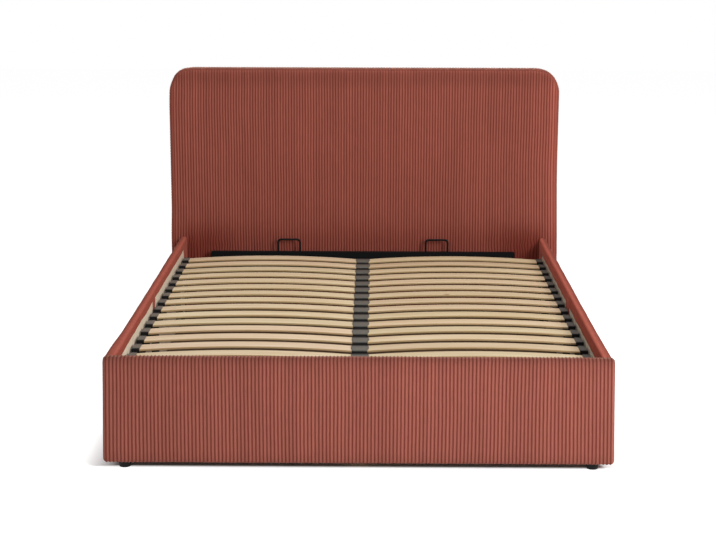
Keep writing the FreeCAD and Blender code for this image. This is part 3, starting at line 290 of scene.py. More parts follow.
CLOTH_SPACING = 0.016
CLOTH_SLACK = 0.001
CLOTH_PRESSURE = 26.0
FOAM_HOLD = 0.48
CLOTH_FRAMES = 20
CLOTH_SETTINGS = {
    "quality": 4,
    "mass": 0.15,
    "tension_stiffness": 5,
    "compression_stiffness": 5,
    "shear_stiffness": 5,
    "bending_stiffness": 40,
    "shrink_min": -CLOTH_SLACK,
    "use_pressure": True,
    "uniform_pressure_force": CLOTH_PRESSURE,
    "vertex_group_mass": "held",
}


def settled_cloth(width, height, puff, seed):
    """How a flat piece of cover comes to rest over its foam: moves across, outwards and up on a coarse grid.

    A sheet of cloth is pinned along its rim, cut larger than its frame by the slack, pushed out by the foam and held
    back by it, a little more in some places than in others. Twenty frames bring it to rest. Each move is then averaged
    with its neighbours', and the outward one is scaled to the puff and kept under twice the puff.
    """
    columns, rows = round(width / CLOTH_SPACING) + 1, round(height / CLOTH_SPACING) + 1
    across, up = np.meshgrid(np.linspace(0, width, columns), np.linspace(0, height, rows))
    edge = np.minimum(np.minimum(across, width - across), np.minimum(up, height - up))
    uneven = drift(across, up, 0.3, seed)
    flat = np.stack([across, 0 * across, up], axis=-1)
    mesh = bpy.data.meshes.new("settling cloth")
    mesh.from_pydata(flat.reshape(-1, 3).tolist(), [], grid_faces(rows, columns).tolist())
    sheet = bpy.data.objects.new("settling cloth", mesh)
    scene = bpy.context.scene
    scene.collection.objects.link(sheet)
    held = sheet.vertex_groups.new(name="held")
    weights = np.where(edge < 1e-6, 1.0, FOAM_HOLD * (1 + 0.05 * uneven))
    for index, weight in enumerate(weights.ravel().tolist()):
        held.add([index], weight, "REPLACE")
    cloth = sheet.modifiers.new("cloth", "CLOTH")
    cloth.collision_settings.use_collision = False
    cloth.collision_settings.use_self_collision = False
    for label, value in CLOTH_SETTINGS.items():
        setattr(cloth.settings, label, value)
    cloth.settings.effector_weights.gravity = 0
    for frame_number in range(1, CLOTH_FRAMES + 1):
        scene.frame_set(frame_number)
    rested = sheet.evaluated_get(bpy.context.evaluated_depsgraph_get()).to_mesh()
    places = np.empty(3 * len(rested.vertices), np.float32)
    rested.vertices.foreach_get("co", places)
    moves = places.reshape(rows, columns, 3) - flat
    scene.frame_set(1)
    bpy.data.objects.remove(sheet)
    bpy.data.meshes.remove(mesh)
    moves[..., 1] *= -1
    for _ in range(3):
        moves[1:-1, 1:-1] = (
            2 * moves[1:-1, 1:-1] + moves[:-2, 1:-1] + moves[2:, 1:-1] + moves[1:-1, :-2] + moves[1:-1, 2:]
        ) / 6
    moves[..., 1] *= puff / np.median(moves[rows // 4 : -rows // 4, columns // 6 : -columns // 6, 1])
    moves[..., 1] = np.clip(moves[..., 1], -0.5 * puff, 2 * puff)
    return moves


def read_moves(moves, across, up):
    """The cloth's moves at places from 0 to 1 across and up, read between the four nearest grid points."""
    rows, columns = moves.shape[:2]
    column = np.clip(across, 0, 1) * (columns - 1)
    row = np.clip(up, 0, 1) * (rows - 1)
    left = np.minimum(column.astype(int), columns - 2)
    low = np.minimum(row.astype(int), rows - 2)
    right_share, high_share = (column - left)[..., None], (row - low)[..., None]
    below = moves[low, left] * (1 - right_share) + moves[low, left + 1] * right_share
    above = moves[low + 1, left] * (1 - right_share) + moves[low + 1, left + 1] * right_share
    return below * (1 - high_share) + above * high_share


# Materials

SLAT_COUNT = 16
SLAT_WIDTH = 0.065


def new_material(name):
    """A material with its Principled shader, its node tree and its output."""
    material = bpy.data.materials.new(name)
    material.use_nodes = True
    tree = material.node_tree
    shader = tree.nodes["Principled BSDF"]
    return material, tree, shader


def new_group(name, inputs, outputs):
    """A shader node group with named inputs and outputs: (kind, name, default) and (kind, name)."""
    group = bpy.data.node_groups.new(name, "ShaderNodeTree")
    for kind, label, default in inputs:
        socket = group.interface.new_socket(label, in_out="INPUT", socket_type="NodeSocket" + kind)
        socket.default_value = default
    for kind, label in outputs:
        group.interface.new_socket(label, in_out="OUTPUT", socket_type="NodeSocket" + kind)
    start = group.nodes.new("NodeGroupInput")
    end = group.nodes.new("NodeGroupOutput")
    return group, start, end


def node(tree, kind, links=(), **settings):
    """A node with its settings; links gives (input, socket or plain value) pairs."""
    made = tree.nodes.new("ShaderNode" + kind)
    for label, value in settings.items():
        setattr(made, label, value)
    for label, value in links:
        if isinstance(value, bpy.types.NodeSocket):
            tree.links.new(value, made.inputs[label])
        else:
            made.inputs[label].default_value = value
    return made


def math_node(tree, operation, first, second):
    """A Math node's output."""
    return node(tree, "Math", [(0, first), (1, second)], operation=operation).outputs[0]


def mix_colours(tree, amount, first, second, blend_type="MIX"):
    """A colour Mix node's output. Its colour sockets are the seventh and eighth."""
    made = tree.nodes.new("ShaderNodeMix")
    made.data_type = "RGBA"
    made.blend_type = blend_type
    for index, value in ((0, amount), (6, first), (7, second)):
        if isinstance(value, bpy.types.NodeSocket):
            tree.links.new(value, made.inputs[index])
        else:
            made.inputs[index].default_value = value
    return made.outputs[2]


def stretched_noise(tree, position, stretch, scale, detail, roughness=0.5):
    """Noise on a position that is scaled first, so that its grains come out long."""
    mapping = node(tree, "Mapping", [("Vector", position), ("Scale", stretch)])
    noise = node(
        tree,
        "TexNoise",
        [("Vector", mapping.outputs[0]), ("Scale", scale), ("Detail", detail), ("Roughness", roughness)],
    )
    return noise.outputs[0]


def pile_group():
    """Cut pile on ribs: colour from groove to crest, each rib's own tone with the painted shade and painted highlights
    that the covers add to it, worn nap and fine tufts.
    """
    group, start, end = new_group(
        "ribbed pile",
        [("Color", "Crest", (1, 1, 1, 1)), ("Color", "Groove", (0, 0, 0, 1)), ("Float", "Tone spread", 0.1)],
        [("Color", "Colour"), ("Float", "Roughness"), ("Float", "Height")],
    )
    place = node(group, "TexCoord").outputs["Object"]
    rib = node(group, "Attribute", attribute_name="rib_height").outputs["Fac"]
    tone = node(group, "Attribute", attribute_name="rib_tone").outputs["Fac"]
    tufts = stretched_noise(group, place, (1, 1, 0.45), 900, 3, 0.6)
    nap = stretched_noise(group, place, (1, 1, 0.3), 9, 3)
    patches = stretched_noise(group, place, (1, 1, 0.5), 55, 2)
    body = mix_colours(group, rib, start.outputs["Groove"], start.outputs["Crest"])
    uneven = math_node(group, "MULTIPLY", math_node(group, "SUBTRACT", nap, 0.5), 0.2)
    patchy = math_node(group, "MULTIPLY", math_node(group, "SUBTRACT", patches, 0.5), 0.14)
    fine = math_node(group, "MULTIPLY", math_node(group, "SUBTRACT", tufts, 0.5), 0.3)
    own = math_node(group, "MULTIPLY", tone, start.outputs["Tone spread"])
    total = math_node(group, "ADD", math_node(group, "ADD", uneven, fine), math_node(group, "ADD", own, patchy))
    bright = math_node(group, "ADD", total, 1.0)
    grey = node(group, "CombineXYZ", [(0, bright), (1, bright), (2, bright)]).outputs[0]
    coloured = node(group, "VectorMath", [(0, body), (1, grey)], operation="MULTIPLY").outputs[0]
    group.links.new(coloured, end.inputs["Colour"])
    rough = math_node(group, "ADD", math_node(group, "MULTIPLY", tufts, 0.15), 0.8)
    group.links.new(rough, end.inputs["Roughness"])
    group.links.new(tufts, end.inputs["Height"])
    return group


def grain_group():
    """Veneer and batten grain: long streaks along one way, broad bands, fine pores and a tone for each strip."""
    group, start, end = new_group(
        "wood grain",
        [
            ("Color", "Light", (1, 1, 1, 1)),
            ("Color", "Dark", (0, 0, 0, 1)),
            ("Vector", "Stretch", (1, 1, 1)),
            ("Float", "Streaks", 60.0),
            ("Float", "Strip tone", 0.0),
            ("Float", "Strip hue", 0.5),
            ("Float", "Cut edge", 0.0),
            ("Color", "Knot", (0.1, 0.05, 0.02, 1)),
            ("Float", "Knots", 0.0),
        ],
        [("Color", "Colour"), ("Float", "Roughness"), ("Float", "Height")],
    )
    place = node(group, "TexCoord").outputs["Object"]
    scaled = node(group, "VectorMath", [(0, place), (1, start.outputs["Stretch"])], operation="MULTIPLY").outputs[0]
    strip_tone = start.outputs["Strip tone"]
    shifts = [(0, math_node(group, "MULTIPLY", strip_tone, 3.7)), (2, math_node(group, "MULTIPLY", strip_tone, 5.1))]
    shift = node(group, "CombineXYZ", shifts).outputs[0]
    seat = node(group, "VectorMath", [(0, scaled), (1, shift)], operation="ADD").outputs[0]
    streaks = node(
        group,
        "TexNoise",
        [("Vector", seat), ("Scale", start.outputs["Streaks"]), ("Detail", 4.0), ("Roughness", 0.62)],
    ).outputs[0]
    bands = node(group, "TexNoise", [("Vector", seat), ("Scale", 9.0), ("Detail", 2.0), ("Distortion", 0.8)]).outputs[0]
    pores = node(group, "TexNoise", [("Vector", seat), ("Scale", 260.0), ("Detail", 2.0)]).outputs[0]
    sharp = node(group, "MapRange", [("Value", streaks), ("From Min", 0.36), ("From Max", 0.68)]).outputs[0]
    streaky, banded = math_node(group, "MULTIPLY", sharp, 0.55), math_node(group, "MULTIPLY", bands, 0.45)
    amount = math_node(group, "ADD", streaky, banded)
    body = mix_colours(group, amount, start.outputs["Light"], start.outputs["Dark"])
    near = node(group, "TexNoise", [("Vector", seat), ("Scale", 2.2), ("Detail", 1.0)]).outputs[0]
    own_hue = math_node(group, "MULTIPLY", start.outputs["Strip hue"], 0.6)
    hue = math_node(group, "ADD", math_node(group, "MULTIPLY", near, 0.5), own_hue)
    warmth = node(group, "MapRange", [("Value", hue), ("From Min", 0.25), ("From Max", 0.85)]).outputs[0]
    wash = mix_colours(group, warmth, (0.985, 1.0, 0.93, 1), (1.02, 0.97, 0.96, 1))
    washed = mix_colours(group, 1.0, body, wash, "MULTIPLY")
    bright = math_node(group, "ADD", math_node(group, "MULTIPLY", start.outputs["Strip tone"], 0.05), 1.0)
    # Painted shade, in part: cut edges are taken darker and browner, partly the plywood's own darker edge and partly
    # shade in the gaps between the slats.
    edge_and_shade_losses = [math_node(group, "MULTIPLY", start.outputs["Cut edge"], loss) for loss in (0.3, 0.38, 0.52)]
    channels = [(index, math_node(group, "SUBTRACT", bright, loss)) for index, loss in enumerate(edge_and_shade_losses)]
    brightness = node(group, "CombineXYZ", channels).outputs[0]
    toned = node(group, "VectorMath", [(0, washed), (1, brightness)], operation="MULTIPLY").outputs[0]
    stretched = node(group, "VectorMath", [(0, place), (1, (0.55, 1.0, 1.0))], operation="MULTIPLY").outputs[0]
    spots = node(group, "TexVoronoi", [("Vector", stretched), ("Scale", 3.4)]).outputs["Distance"]
    spot = node(
        group,
        "MapRange",
        [("Value", spots), ("From Min", 0.012), ("From Max", 0.032), ("To Min", 1.0), ("To Max", 0.0)],
    ).outputs[0]
    knotted = math_node(group, "MULTIPLY", spot, start.outputs["Knots"])
    group.links.new(mix_colours(group, knotted, toned, start.outputs["Knot"]), end.inputs["Colour"])
    rough = math_node(group, "ADD", math_node(group, "MULTIPLY", pores, 0.25), 0.42)
    group.links.new(rough, end.inputs["Roughness"])
    ridges, pits = math_node(group, "MULTIPLY", streaks, 0.6), math_node(group, "MULTIPLY", pores, 0.4)
    group.links.new(math_node(group, "ADD", ridges, pits), end.inputs["Height"])
    return group


def fleck_group():
    """Small flakes and specks: pressed board, moulded plastic and coated steel."""
    group, start, end = new_group(
        "flecks",
        [
            ("Color", "Light", (1, 1, 1, 1)),
            ("Color", "Dark", (0, 0, 0, 1)),
            ("Float", "Grain", 300.0),
            ("Float", "Smudge", 12.0),
            ("Float", "Rough low", 0.4),
            ("Float", "Rough spread", 0.2),
        ],
        [("Color", "Colour"), ("Float", "Roughness"), ("Float", "Height")],
    )
    place = node(group, "TexCoord").outputs["Object"]
    flakes = node(group, "TexVoronoi", [("Vector", place), ("Scale", start.outputs["Grain"])]).outputs["Color"]
    flake = node(group, "SeparateColor", [(0, flakes)]).outputs[0]
    smudge, fine = (
        node(group, "TexNoise", [("Vector", place), ("Scale", start.outputs[label]), ("Detail", detail)]).outputs[0]
        for label, detail in (("Smudge", 4.0), ("Grain", 2.0))
    )
    flaky, smudged = math_node(group, "MULTIPLY", flake, 0.45), math_node(group, "MULTIPLY", smudge, 0.55)
    amount = math_node(group, "ADD", flaky, smudged)
    body = mix_colours(group, amount, start.outputs["Light"], start.outputs["Dark"])
    group.links.new(body, end.inputs["Colour"])
    spread = math_node(group, "MULTIPLY", smudge, start.outputs["Rough spread"])
    rough = math_node(group, "ADD", spread, start.outputs["Rough low"])
    group.links.new(rough, end.inputs["Roughness"])
    group.links.new(fine, end.inputs["Height"])
    return group


def place_group(tree, group, **values):
    """A group node with plain values on its inputs; underscores in a name stand for spaces."""
    made = tree.nodes.new("ShaderNodeGroup")
    made.node_tree = group
    for label, value in values.items():
        socket = made.inputs[label.replace("_", " ")]
        if isinstance(value, bpy.types.NodeSocket):
            tree.links.new(value, socket)
        else:
            socket.default_value = value
    return made


def finish_shader(tree, shader, effect, bump, distance):
    """Wire an effect's colour, roughness and height to the shader."""
    tree.links.new(effect.outputs["Colour"], shader.inputs["Base Color"])
    tree.links.new(effect.outputs["Roughness"], shader.inputs["Roughness"])
    relief = node(tree, "Bump", [("Height", effect.outputs["Height"]), ("Strength", bump), ("Distance", distance)])
    tree.links.new(relief.outputs[0], shader.inputs["Normal"])


def shared_group(name, maker):
    """The named node group, built once."""
    return bpy.data.node_groups.get(name) or maker()


def cloth_material(name, crest, groove, spread):
    """Ribbed cloth with a soft sheen."""
    material, tree, shader = new_material(name)
    effect = place_group(tree, shared_group("ribbed pile", pile_group), Crest=crest, Groove=groove, Tone_spread=spread)
    finish_shader(tree, shader, effect, 0.5, 0.0006)
    shader.inputs["Sheen Weight"].default_value = 0.5
    shader.inputs["Sheen Roughness"].default_value = 0.35
    shader.inputs["Sheen Tint"].default_value = (1.0, 0.55, 0.42, 1.0)
    shader.inputs["Specular IOR Level"].default_value = 0.15
    return material


def wood_material(name, light, dark, stretch, streaks, knot=(0.1, 0.05, 0.02, 1), knots=0.0):
    """Plain wood whose grain runs along the way that the stretch leaves long."""
    material, tree, shader = new_material(name)
    tone, hue, edge = (
        node(tree, "Attribute", attribute_name="strip_" + label).outputs["Fac"] for label in ("tone", "hue", "edge")
    )
    effect = place_group(
        tree,
        shared_group("wood grain", grain_group),
        Light=light,
        Dark=dark,
        Stretch=stretch,
        Streaks=streaks,
        Strip_tone=tone,
        Strip_hue=hue,
        Cut_edge=edge,
        Knot=knot,
        Knots=knots,
    )
    finish_shader(tree, shader, effect, 0.25, 0.0004)
    shader.inputs["Specular IOR Level"].default_value = 0.35
    return material


def fleck_material(name, light, dark, grain, smudge, rough, metallic=0.0, bump=0.2, distance=0.0002):
    """Board, plastic or metal with small flecks; rough is the lowest roughness and its spread."""
    material, tree, shader = new_material(name)
    effect = place_group(
        tree,
        shared_group("flecks", fleck_group),
        Light=light,
        Dark=dark,
        Grain=grain,
        Smudge=smudge,
        Rough_low=rough[0],
        Rough_spread=rough[1],
    )
    finish_shader(tree, shader, effect, bump, distance)
    shader.inputs["Metallic"].default_value = metallic
    return material


def slat_rows():
    """The slats' centre lines along the bed, the first by the headboard, and the distance between two."""
    low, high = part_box("slats_left")
    pitch = (high.y - low.y - SLAT_WIDTH) / (SLAT_COUNT - 1)
    return high.y - SLAT_WIDTH / 2 - pitch * np.arange(SLAT_COUNT), pitch


def holder_plastic(name, settings, top_lighting):
    """Moulded plastic whose tops are painted lit and whose sides are painted in shade; the last argument gives the lit
    share and the lit part's two colours.
    """
    material, tree, shader = new_material(name)
    lit_share, top_light, top_dark = top_lighting(tree)
    effect = place_group(
        tree,
        shared_group("flecks", fleck_group),
        Light=mix_colours(tree, lit_share, settings.holder_shaded_side, top_light),
        Dark=mix_colours(tree, lit_share, darker(settings.holder_shaded_side, 0.5), top_dark),
        Grain=260.0,
        Smudge=45.0,
        Rough_low=0.5,
        Rough_spread=0.2,
    )
    finish_shader(tree, shader, effect, 0.35, 0.0003)
    shader.inputs["Specular IOR Level"].default_value = 0.2
    return material


def side_holder_material(settings):
    """Side holders: only the top millimetre over each slat is painted lit, and less so at the right, where the tops are
    painted in shade.
    """
    rows, pitch = slat_rows()
    reach = -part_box("slats_left")[0].x
    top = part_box("slat_holders_left")[1].z

    def top_lighting(tree):
        apart = node(tree, "SeparateXYZ", [(0, node(tree, "TexCoord").outputs["Object"])]).outputs
        high_up = node(tree, "MapRange", [("Value", apart[2]), ("From Min", top - 0.0035), ("From Max", top - 0.0012)])
        step = math_node(tree, "DIVIDE", math_node(tree, "SUBTRACT", apart[1], float(rows[-1])), pitch)
        nearest = math_node(tree, "ROUND", step, 0.0)
        beside = math_node(tree, "ABSOLUTE", math_node(tree, "SUBTRACT", step, nearest), 0.0)
        over_slat = node(
            tree,
            "MapRange",
            [
                ("Value", beside),
                ("From Min", 0.022 / pitch),
                ("From Max", 0.028 / pitch),
                ("To Min", 1.0),
                ("To Max", 0.0),
            ],
        )
        rightness = node(tree, "MapRange", [("Value", apart[0]), ("From Min", -reach), ("From Max", reach)]).outputs[0]
        tops = (
            mix_colours(tree, rightness, darker(settings.holder, factor), darker(settings.holder_right_shaded, factor))
            for factor in (1.0, 0.55)
        )
        return (math_node(tree, "MULTIPLY", high_up.outputs[0], over_slat.outputs[0]), *tops)

    return holder_plastic("holder plastic", settings, top_lighting)


def middle_holder_material(settings):
    """Middle holders: the piece's own attribute says where they are painted lit."""

    def top_lighting(tree):
        lit_share = node(tree, "Attribute", attribute_name="lit_share").outputs["Fac"]
        return lit_share, settings.holder_middle, darker(settings.holder_middle, 0.6)

    return holder_plastic("middle holder plastic", settings, top_lighting)


def darker(value, factor):
    """A colour taken down by a factor."""
    return (*(channel * factor for channel in value[:3]), 1.0)


def tinted(value, factors):
    """A colour with a factor for each of its channels."""
    return (*(channel * factor for channel, factor in zip(value, factors)), 1.0)


def dress(names, material):
    """Give a finish to CAD nodes whose shape is kept."""
    for name in names:
        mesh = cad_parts[name].data
        mesh.materials.clear()
        mesh.materials.append(material)


# Headboard cover

HEADBOARD_SEAM = 0.007
HEADBOARD_ROLL = 0.018
HEADBOARD_DEPTH = 0.085
HEADBOARD_ROUND = 0.104
HEADBOARD_LOW_ROUND = 0.014
RIM_STEPS = np.array([0.0, 0.0008, 0.002, 0.0035, 0.0055, 0.008, 0.011, 0.015, 0.02, 0.028, 0.04, 0.058, 0.085])
PANEL_ROWS = 34


def roll_depth(inset):
    """How far the rounded rim lies behind the flat front: a quarter circle from the front to the outline."""
    left = np.clip(HEADBOARD_ROLL - inset, 0, HEADBOARD_ROLL)
    return HEADBOARD_ROLL - np.sqrt(HEADBOARD_ROLL**2 - left**2)


def lean_headboard(points, amount):
    """The stuffed outline's departures from a straight one, by their amount at each point.

    The left side draws in above the rail and again at the top corner, the right side spreads towards the floor,
    the top sinks a little, and the upper half of each corner's round stands a little fuller, most on the left.
    """
    x, z = points[..., 0].copy(), points[..., 2].copy()
    left, right = smooth_step((-x - 0.35) / 0.5), smooth_step((x - 0.35) / 0.5)
    draw = 0.0038 * smooth_step((z - 0.36) / 0.16) + 0.003 * smooth_step((z - 0.95) / 0.12)
    spread = 0.001 + 0.011 * (1 - smooth_step((z - 0.2) / 0.55))
    points[..., 0] = x + amount * (left * draw + right * spread)
    beside = 0.855 - np.abs(x)
    fuller = smooth_step((beside - 0.004) / 0.024) * (1 - smooth_step((beside - 0.035) / 0.055))
    fuller = fuller * smooth_step((z - 0.98) / 0.09) * np.where(x < 0, 0.0075, 0.0035)
    points[..., 2] = z + amount * (fuller - 0.002 * smooth_step((z - 0.9) / 0.2))
    return points


def outline_run(half_width, low, high, top_radius, low_radius, counts):
    """A headboard outline as points and outward normals, counter-clockwise seen from the front.

    It runs from the middle of the low edge: half the low edge, low right corner, right side, top right corner,
    top, and back on the left. Each stretch is cut in as many places as counts gives, so two outlines match.
    """
    centres = [
        (half_width - low_radius, low + low_radius, low_radius, -90),
        (half_width - top_radius, high - top_radius, top_radius, 0),
        (top_radius - half_width, high - top_radius, top_radius, 90),
        (low_radius - half_width, low + low_radius, low_radius, 180),
    ]
    points, normals = [], []
    cursor = np.array([0.0, low])
    straight_normals = [(0, -1), (1, 0), (0, 1), (-1, 0), (0, -1)]
    for index, (across, up, radius, start) in enumerate(centres):
        angle = math.radians(start)
        arc_start = np.array([across + radius * math.cos(angle), up + radius * math.sin(angle)])
        places = counts[2 * index][:, None]
        points.append(cursor + (arc_start - cursor) * places)
        normals.append(np.tile(straight_normals[index], (len(places), 1)))
        turn = angle + counts[2 * index + 1] * math.pi / 2
        direction = np.stack([np.cos(turn), np.sin(turn)], axis=1)
        points.append(np.array([across, up]) + radius * direction)
        normals.append(direction)
        arc_end = angle + math.pi / 2
        cursor = np.array([across + radius * math.cos(arc_end), up + radius * math.sin(arc_end)])
    places = counts[8][:, None]
    points.append(cursor + (np.array([0.0, low]) - cursor) * places)
    normals.append(np.tile(straight_normals[4], (len(places), 1)))
    return np.concatenate(points), np.concatenate(normals)


def border_places(half_width, low, high, top_radius, low_radius, pitch):
    """For each stretch of the outline, places from 0 to 1 with whole ribs in it, and the rib count so far."""
    side = high - low - top_radius - low_radius
    lengths = [
        half_width - low_radius,
        low_radius * math.pi / 2,
        side,
        top_radius * math.pi / 2,
        2 * (half_width - top_radius),
        top_radius * math.pi / 2,
        side,
        low_radius * math.pi / 2,
        half_width - low_radius,
    ]
    places, turns, total = [], [], 0
    for span in lengths:
        ribs = max(1, round(span / pitch))
        run = (np.arange(ribs)[:, None] + RIB_FRACTIONS[[0, 1, 2, 4, 6, 7]]).ravel()
        places.append(run / ribs)
        turns.append(run + total)
        total += ribs
    return places, np.concatenate(turns)


def panel_columns(half_width, pitch_wanted):
    """Places across the front panel that follow the ribs, and in the rounded corners also the arc, in ribs."""
    inner_half, inner_radius = half_width - HEADBOARD_SEAM, HEADBOARD_ROUND - HEADBOARD_SEAM
    ribs = round(2 * (half_width - HEADBOARD_ROUND) / pitch_wanted)
    pitch = 2 * (half_width - HEADBOARD_ROUND) / ribs
    corner = (np.arange(1 + math.ceil(inner_radius / pitch))[:, None] + RIB_FRACTIONS).ravel()
    corner = corner[corner * pitch < inner_radius - 0.0004]
    arc = inner_radius * np.sin(np.linspace(0.9, math.pi / 2, 26))
    corner = np.unique(np.concatenate([corner, arc / pitch]))
    turns = np.concatenate([-corner[:0:-1], rib_turns(ribs), ribs + corner[1:]])
    return turns, np.clip((turns - ribs / 2) * pitch, -inner_half, inner_half)


def painted_top_shade(up):
    """Painted shade towards the headboard's top: how much darker the cloth is painted there, as a tone: a slow fade and
    a quick one at the roll.
    """
    return (0.055 * smooth_step((up - 0.75) / 0.3) + 0.11 * smooth_step((up - 1.03) / 0.05)) / TONE_SPREAD


def painted_side_highlight(x):
    """Painted highlight at the headboard's right edge and, less, at its left edge: how much brighter the cloth is
    painted there, as a tone.
    """
    right = 0.1 * smooth_step((x - 0.7) / 0.08) + 0.26 * smooth_step((x - 0.8) / 0.04)
    left = 0.16 * smooth_step((-x - 0.825) / 0.02)
    return (right + left) / TONE_SPREAD


def make_headboard_cover(settings):
    """A front panel with upright ribs, rolled back at its rim and sewn to a border whose ribs run across it."""
    low_corner, high_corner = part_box("headboard_upholstery")
    half_width = high_corner.x
    low, high = low_corner.z, high_corner.z
    front = high_corner.y - HEADBOARD_DEPTH
    depth = settings.rib_depth

    # panel: rows close together at both ends of each column
    inner_half = half_width - HEADBOARD_SEAM
    inner_low, inner_high = low + HEADBOARD_SEAM, high - HEADBOARD_SEAM
    inner_radius = HEADBOARD_ROUND - HEADBOARD_SEAM
    turns, across = panel_columns(half_width, settings.rib_pitch)
    over = np.clip(np.abs(across) - (inner_half - inner_radius), 0, inner_radius)
    column_top = inner_high - inner_radius + np.sqrt(np.maximum(inner_radius**2 - over**2, 0))
    steps = np.linspace(0, 1, PANEL_ROWS)[1:-1, None]
    bottom, top = inner_low + RIM_STEPS[:, None], column_top[None, :] - RIM_STEPS[::-1, None]
    middle = bottom[-1] + (top[0] - bottom[-1]) * steps
    up = np.concatenate([np.broadcast_to(bottom, (len(RIM_STEPS), len(across))), middle, top])
    x = np.broadcast_to(across, up.shape).copy()
    beside = inner_half - np.abs(x)
    inside = np.minimum(beside, np.minimum(up - inner_low, column_top[None, :] - up))
    corner_x = np.maximum(np.abs(x) - (inner_half - inner_radius), 0)
    corner_z = np.maximum(up - (inner_high - inner_radius), 0)
    reach = np.hypot(corner_x, corner_z)
    in_corner = (corner_x > 0) & (corner_z > 0)
    inside = np.maximum(np.where(in_corner, inner_radius - reach, inside), 0)
    sideways = np.where(in_corner, corner_x / np.maximum(reach, 1e-9), (beside <= inside + 1e-9).astype(float))
    shown = 1 - sideways**2 * (1 - smooth_step((inside - 0.003) / 0.012))

    free = smooth_step(inside / 0.04)
    bunched_and_shaded = 1 - smooth_step((up - 0.34) / 0.14)
    cornered = smooth_step((np.abs(x) - 0.5) / 0.2) * smooth_step((0.8 - np.abs(x)) / 0.03)
    x += free * settings.rib_wander * (1 + bunched_and_shaded * (1 + 3 * cornered)) * stray(x, up, 11)
    waves = np.sin(2 * math.pi * (up / 0.042 + 0.8 * drift(x, up, 0.2, 16)))
    x += free * bunched_and_shaded**2 * (0.0005 + 0.0021 * cornered) * waves
    moves = settled_cloth(2 * half_width, high - low, settings.puff, 12)
    move = read_moves(moves, (x + half_width) / (2 * half_width), (up - low) / (high - low))
    x += free * move[..., 0]
    swell = settings.softness * free * drift(x, up, 0.3, 15)
    rib = np.broadcast_to(turns, up.shape)
    height = 0.6 + (rib_height(rib) - 0.6) * shown
    seam_dip = 0.0014 * (1 - smooth_step(inside / 0.004))
    deepened = depth * (1 + 0.8 * bunched_and_shaded)
    y = front + roll_depth(inside + HEADBOARD_SEAM) - move[..., 1] - swell - deepened * (height - 0.88) + seam_dip
    panel = lean_headboard(np.stack([x, y, up + free * move[..., 2]], axis=-1), 1.0)
    contrast = shown * (1 - 0.3 * smooth_step((up - 1.04) / 0.05))
    # Painted shade: near the bottom the colour is taken towards the groove's, and more in the low corners, where the
    # platform and the rails shade the cloth.
    colour_height = (0.5 + (rib_shade(rib) - 0.5) * contrast) * (1 - bunched_and_shaded * (0.28 + 0.4 * cornered))
    # Each rib's tone gets the painted shade towards the top and the painted highlight at the side edges.
    tone = np.broadcast_to(rib_tone(turns - turns.min(), 13), up.shape) * shown - painted_top_shade(up) + painted_side_highlight(x)
    rows, columns = up.shape
    faces = grid_faces(rows, columns).tolist()
    edge = grid_rim(rows, columns)
    start = rows * columns
    rim = panel.reshape(-1, 3)[edge].copy()
    rim[:, 1] = front + 0.012
    count = len(edge)
    following = np.roll(np.arange(count), -1)
    faces += np.stack([edge, np.roll(edge, -1), start + following, start + np.arange(count)], axis=1).tolist()
    faces.append((start + np.arange(count))[::-1].tolist())
    points = [panel.reshape(-1, 3), rim]
    shades = [colour_height.ravel(), np.full(count, 0.3)]
    tones = [tone.ravel(), np.zeros(count)]
    start += count

    # border: seam, roll, side, back edge, and the hollow that the board lies in
    places, border_turns = border_places(
        half_width, low, high, HEADBOARD_ROUND, HEADBOARD_LOW_ROUND, settings.rib_pitch
    )
    seam_turn = math.asin(1 - HEADBOARD_SEAM / HEADBOARD_ROLL)
    turn = np.linspace(seam_turn, math.pi / 2, 7)
    seam_depth = HEADBOARD_ROLL * (1 - math.cos(seam_turn))
    # for each ring: inset, depth behind the front, share of the ribs, which way they push, share of the lean
    rings = [(HEADBOARD_SEAM + 0.004, 0.008, 0.0, 0.0, 1.0)]
    rings.append((HEADBOARD_SEAM + 0.0004, seam_depth + 0.0035, 0.0, 0.0, 1.0))
    rings += [
        (HEADBOARD_ROLL * (1 - math.sin(angle)), HEADBOARD_ROLL * (1 - math.cos(angle)), 0.15 + 0.5 * share, angle, 1.0)
        for share, angle in zip(np.linspace(0, 1, 7), turn)
    ]
    rings += [(0.0, inward, 0.75, math.pi / 2, 1.0) for inward in (0.03, 0.046, 0.064, 0.08)]
    rings += [(0.0035, 0.085, 0.3, math.pi * 0.75, 1.0), (0.012, 0.085, 0.0, 0.0, 0.5)]
    rings += [(0.012, 0.06, 0.0, 0.0, 0.0), (0.012, 0.0253, 0.0, 0.0, 0.0)]
    border_height = rib_height(border_turns)
    layers, border_shades = [], []
    for inset, inward, carry, lean, follow in rings:
        ring, normal = outline_run(
            half_width - inset,
            low + inset,
            high - inset,
            max(HEADBOARD_ROUND - inset, 0.004),
            max(HEADBOARD_LOW_ROUND - inset, 0.002),
            places,
        )
        push = depth * (border_height - 0.88) * carry
        ring = ring + normal * (push * math.sin(lean))[:, None]
        layer = np.stack([ring[:, 0], front + inward - push * math.cos(lean), ring[:, 1]], axis=1)
        layers.append(lean_headboard(layer, follow))
        border_shades.append(0.45 + (rib_shade(border_turns) - 0.45) * carry)
    border = np.stack(layers, axis=0)
    rows, columns = border.shape[:2]
    faces += grid_faces(rows, columns, start).tolist()
    low_row = start + np.arange(rows - 1) * columns
    faces += np.stack([low_row + columns - 1, low_row, low_row + columns, low_row + 2 * columns - 1], axis=1).tolist()
    faces.append((start + np.arange(columns)).tolist())
    faces.append((start + (rows - 1) * columns + np.arange(columns))[::-1].tolist())
    points.append(border.reshape(-1, 3))
    shades.append(np.concatenate(border_shades))
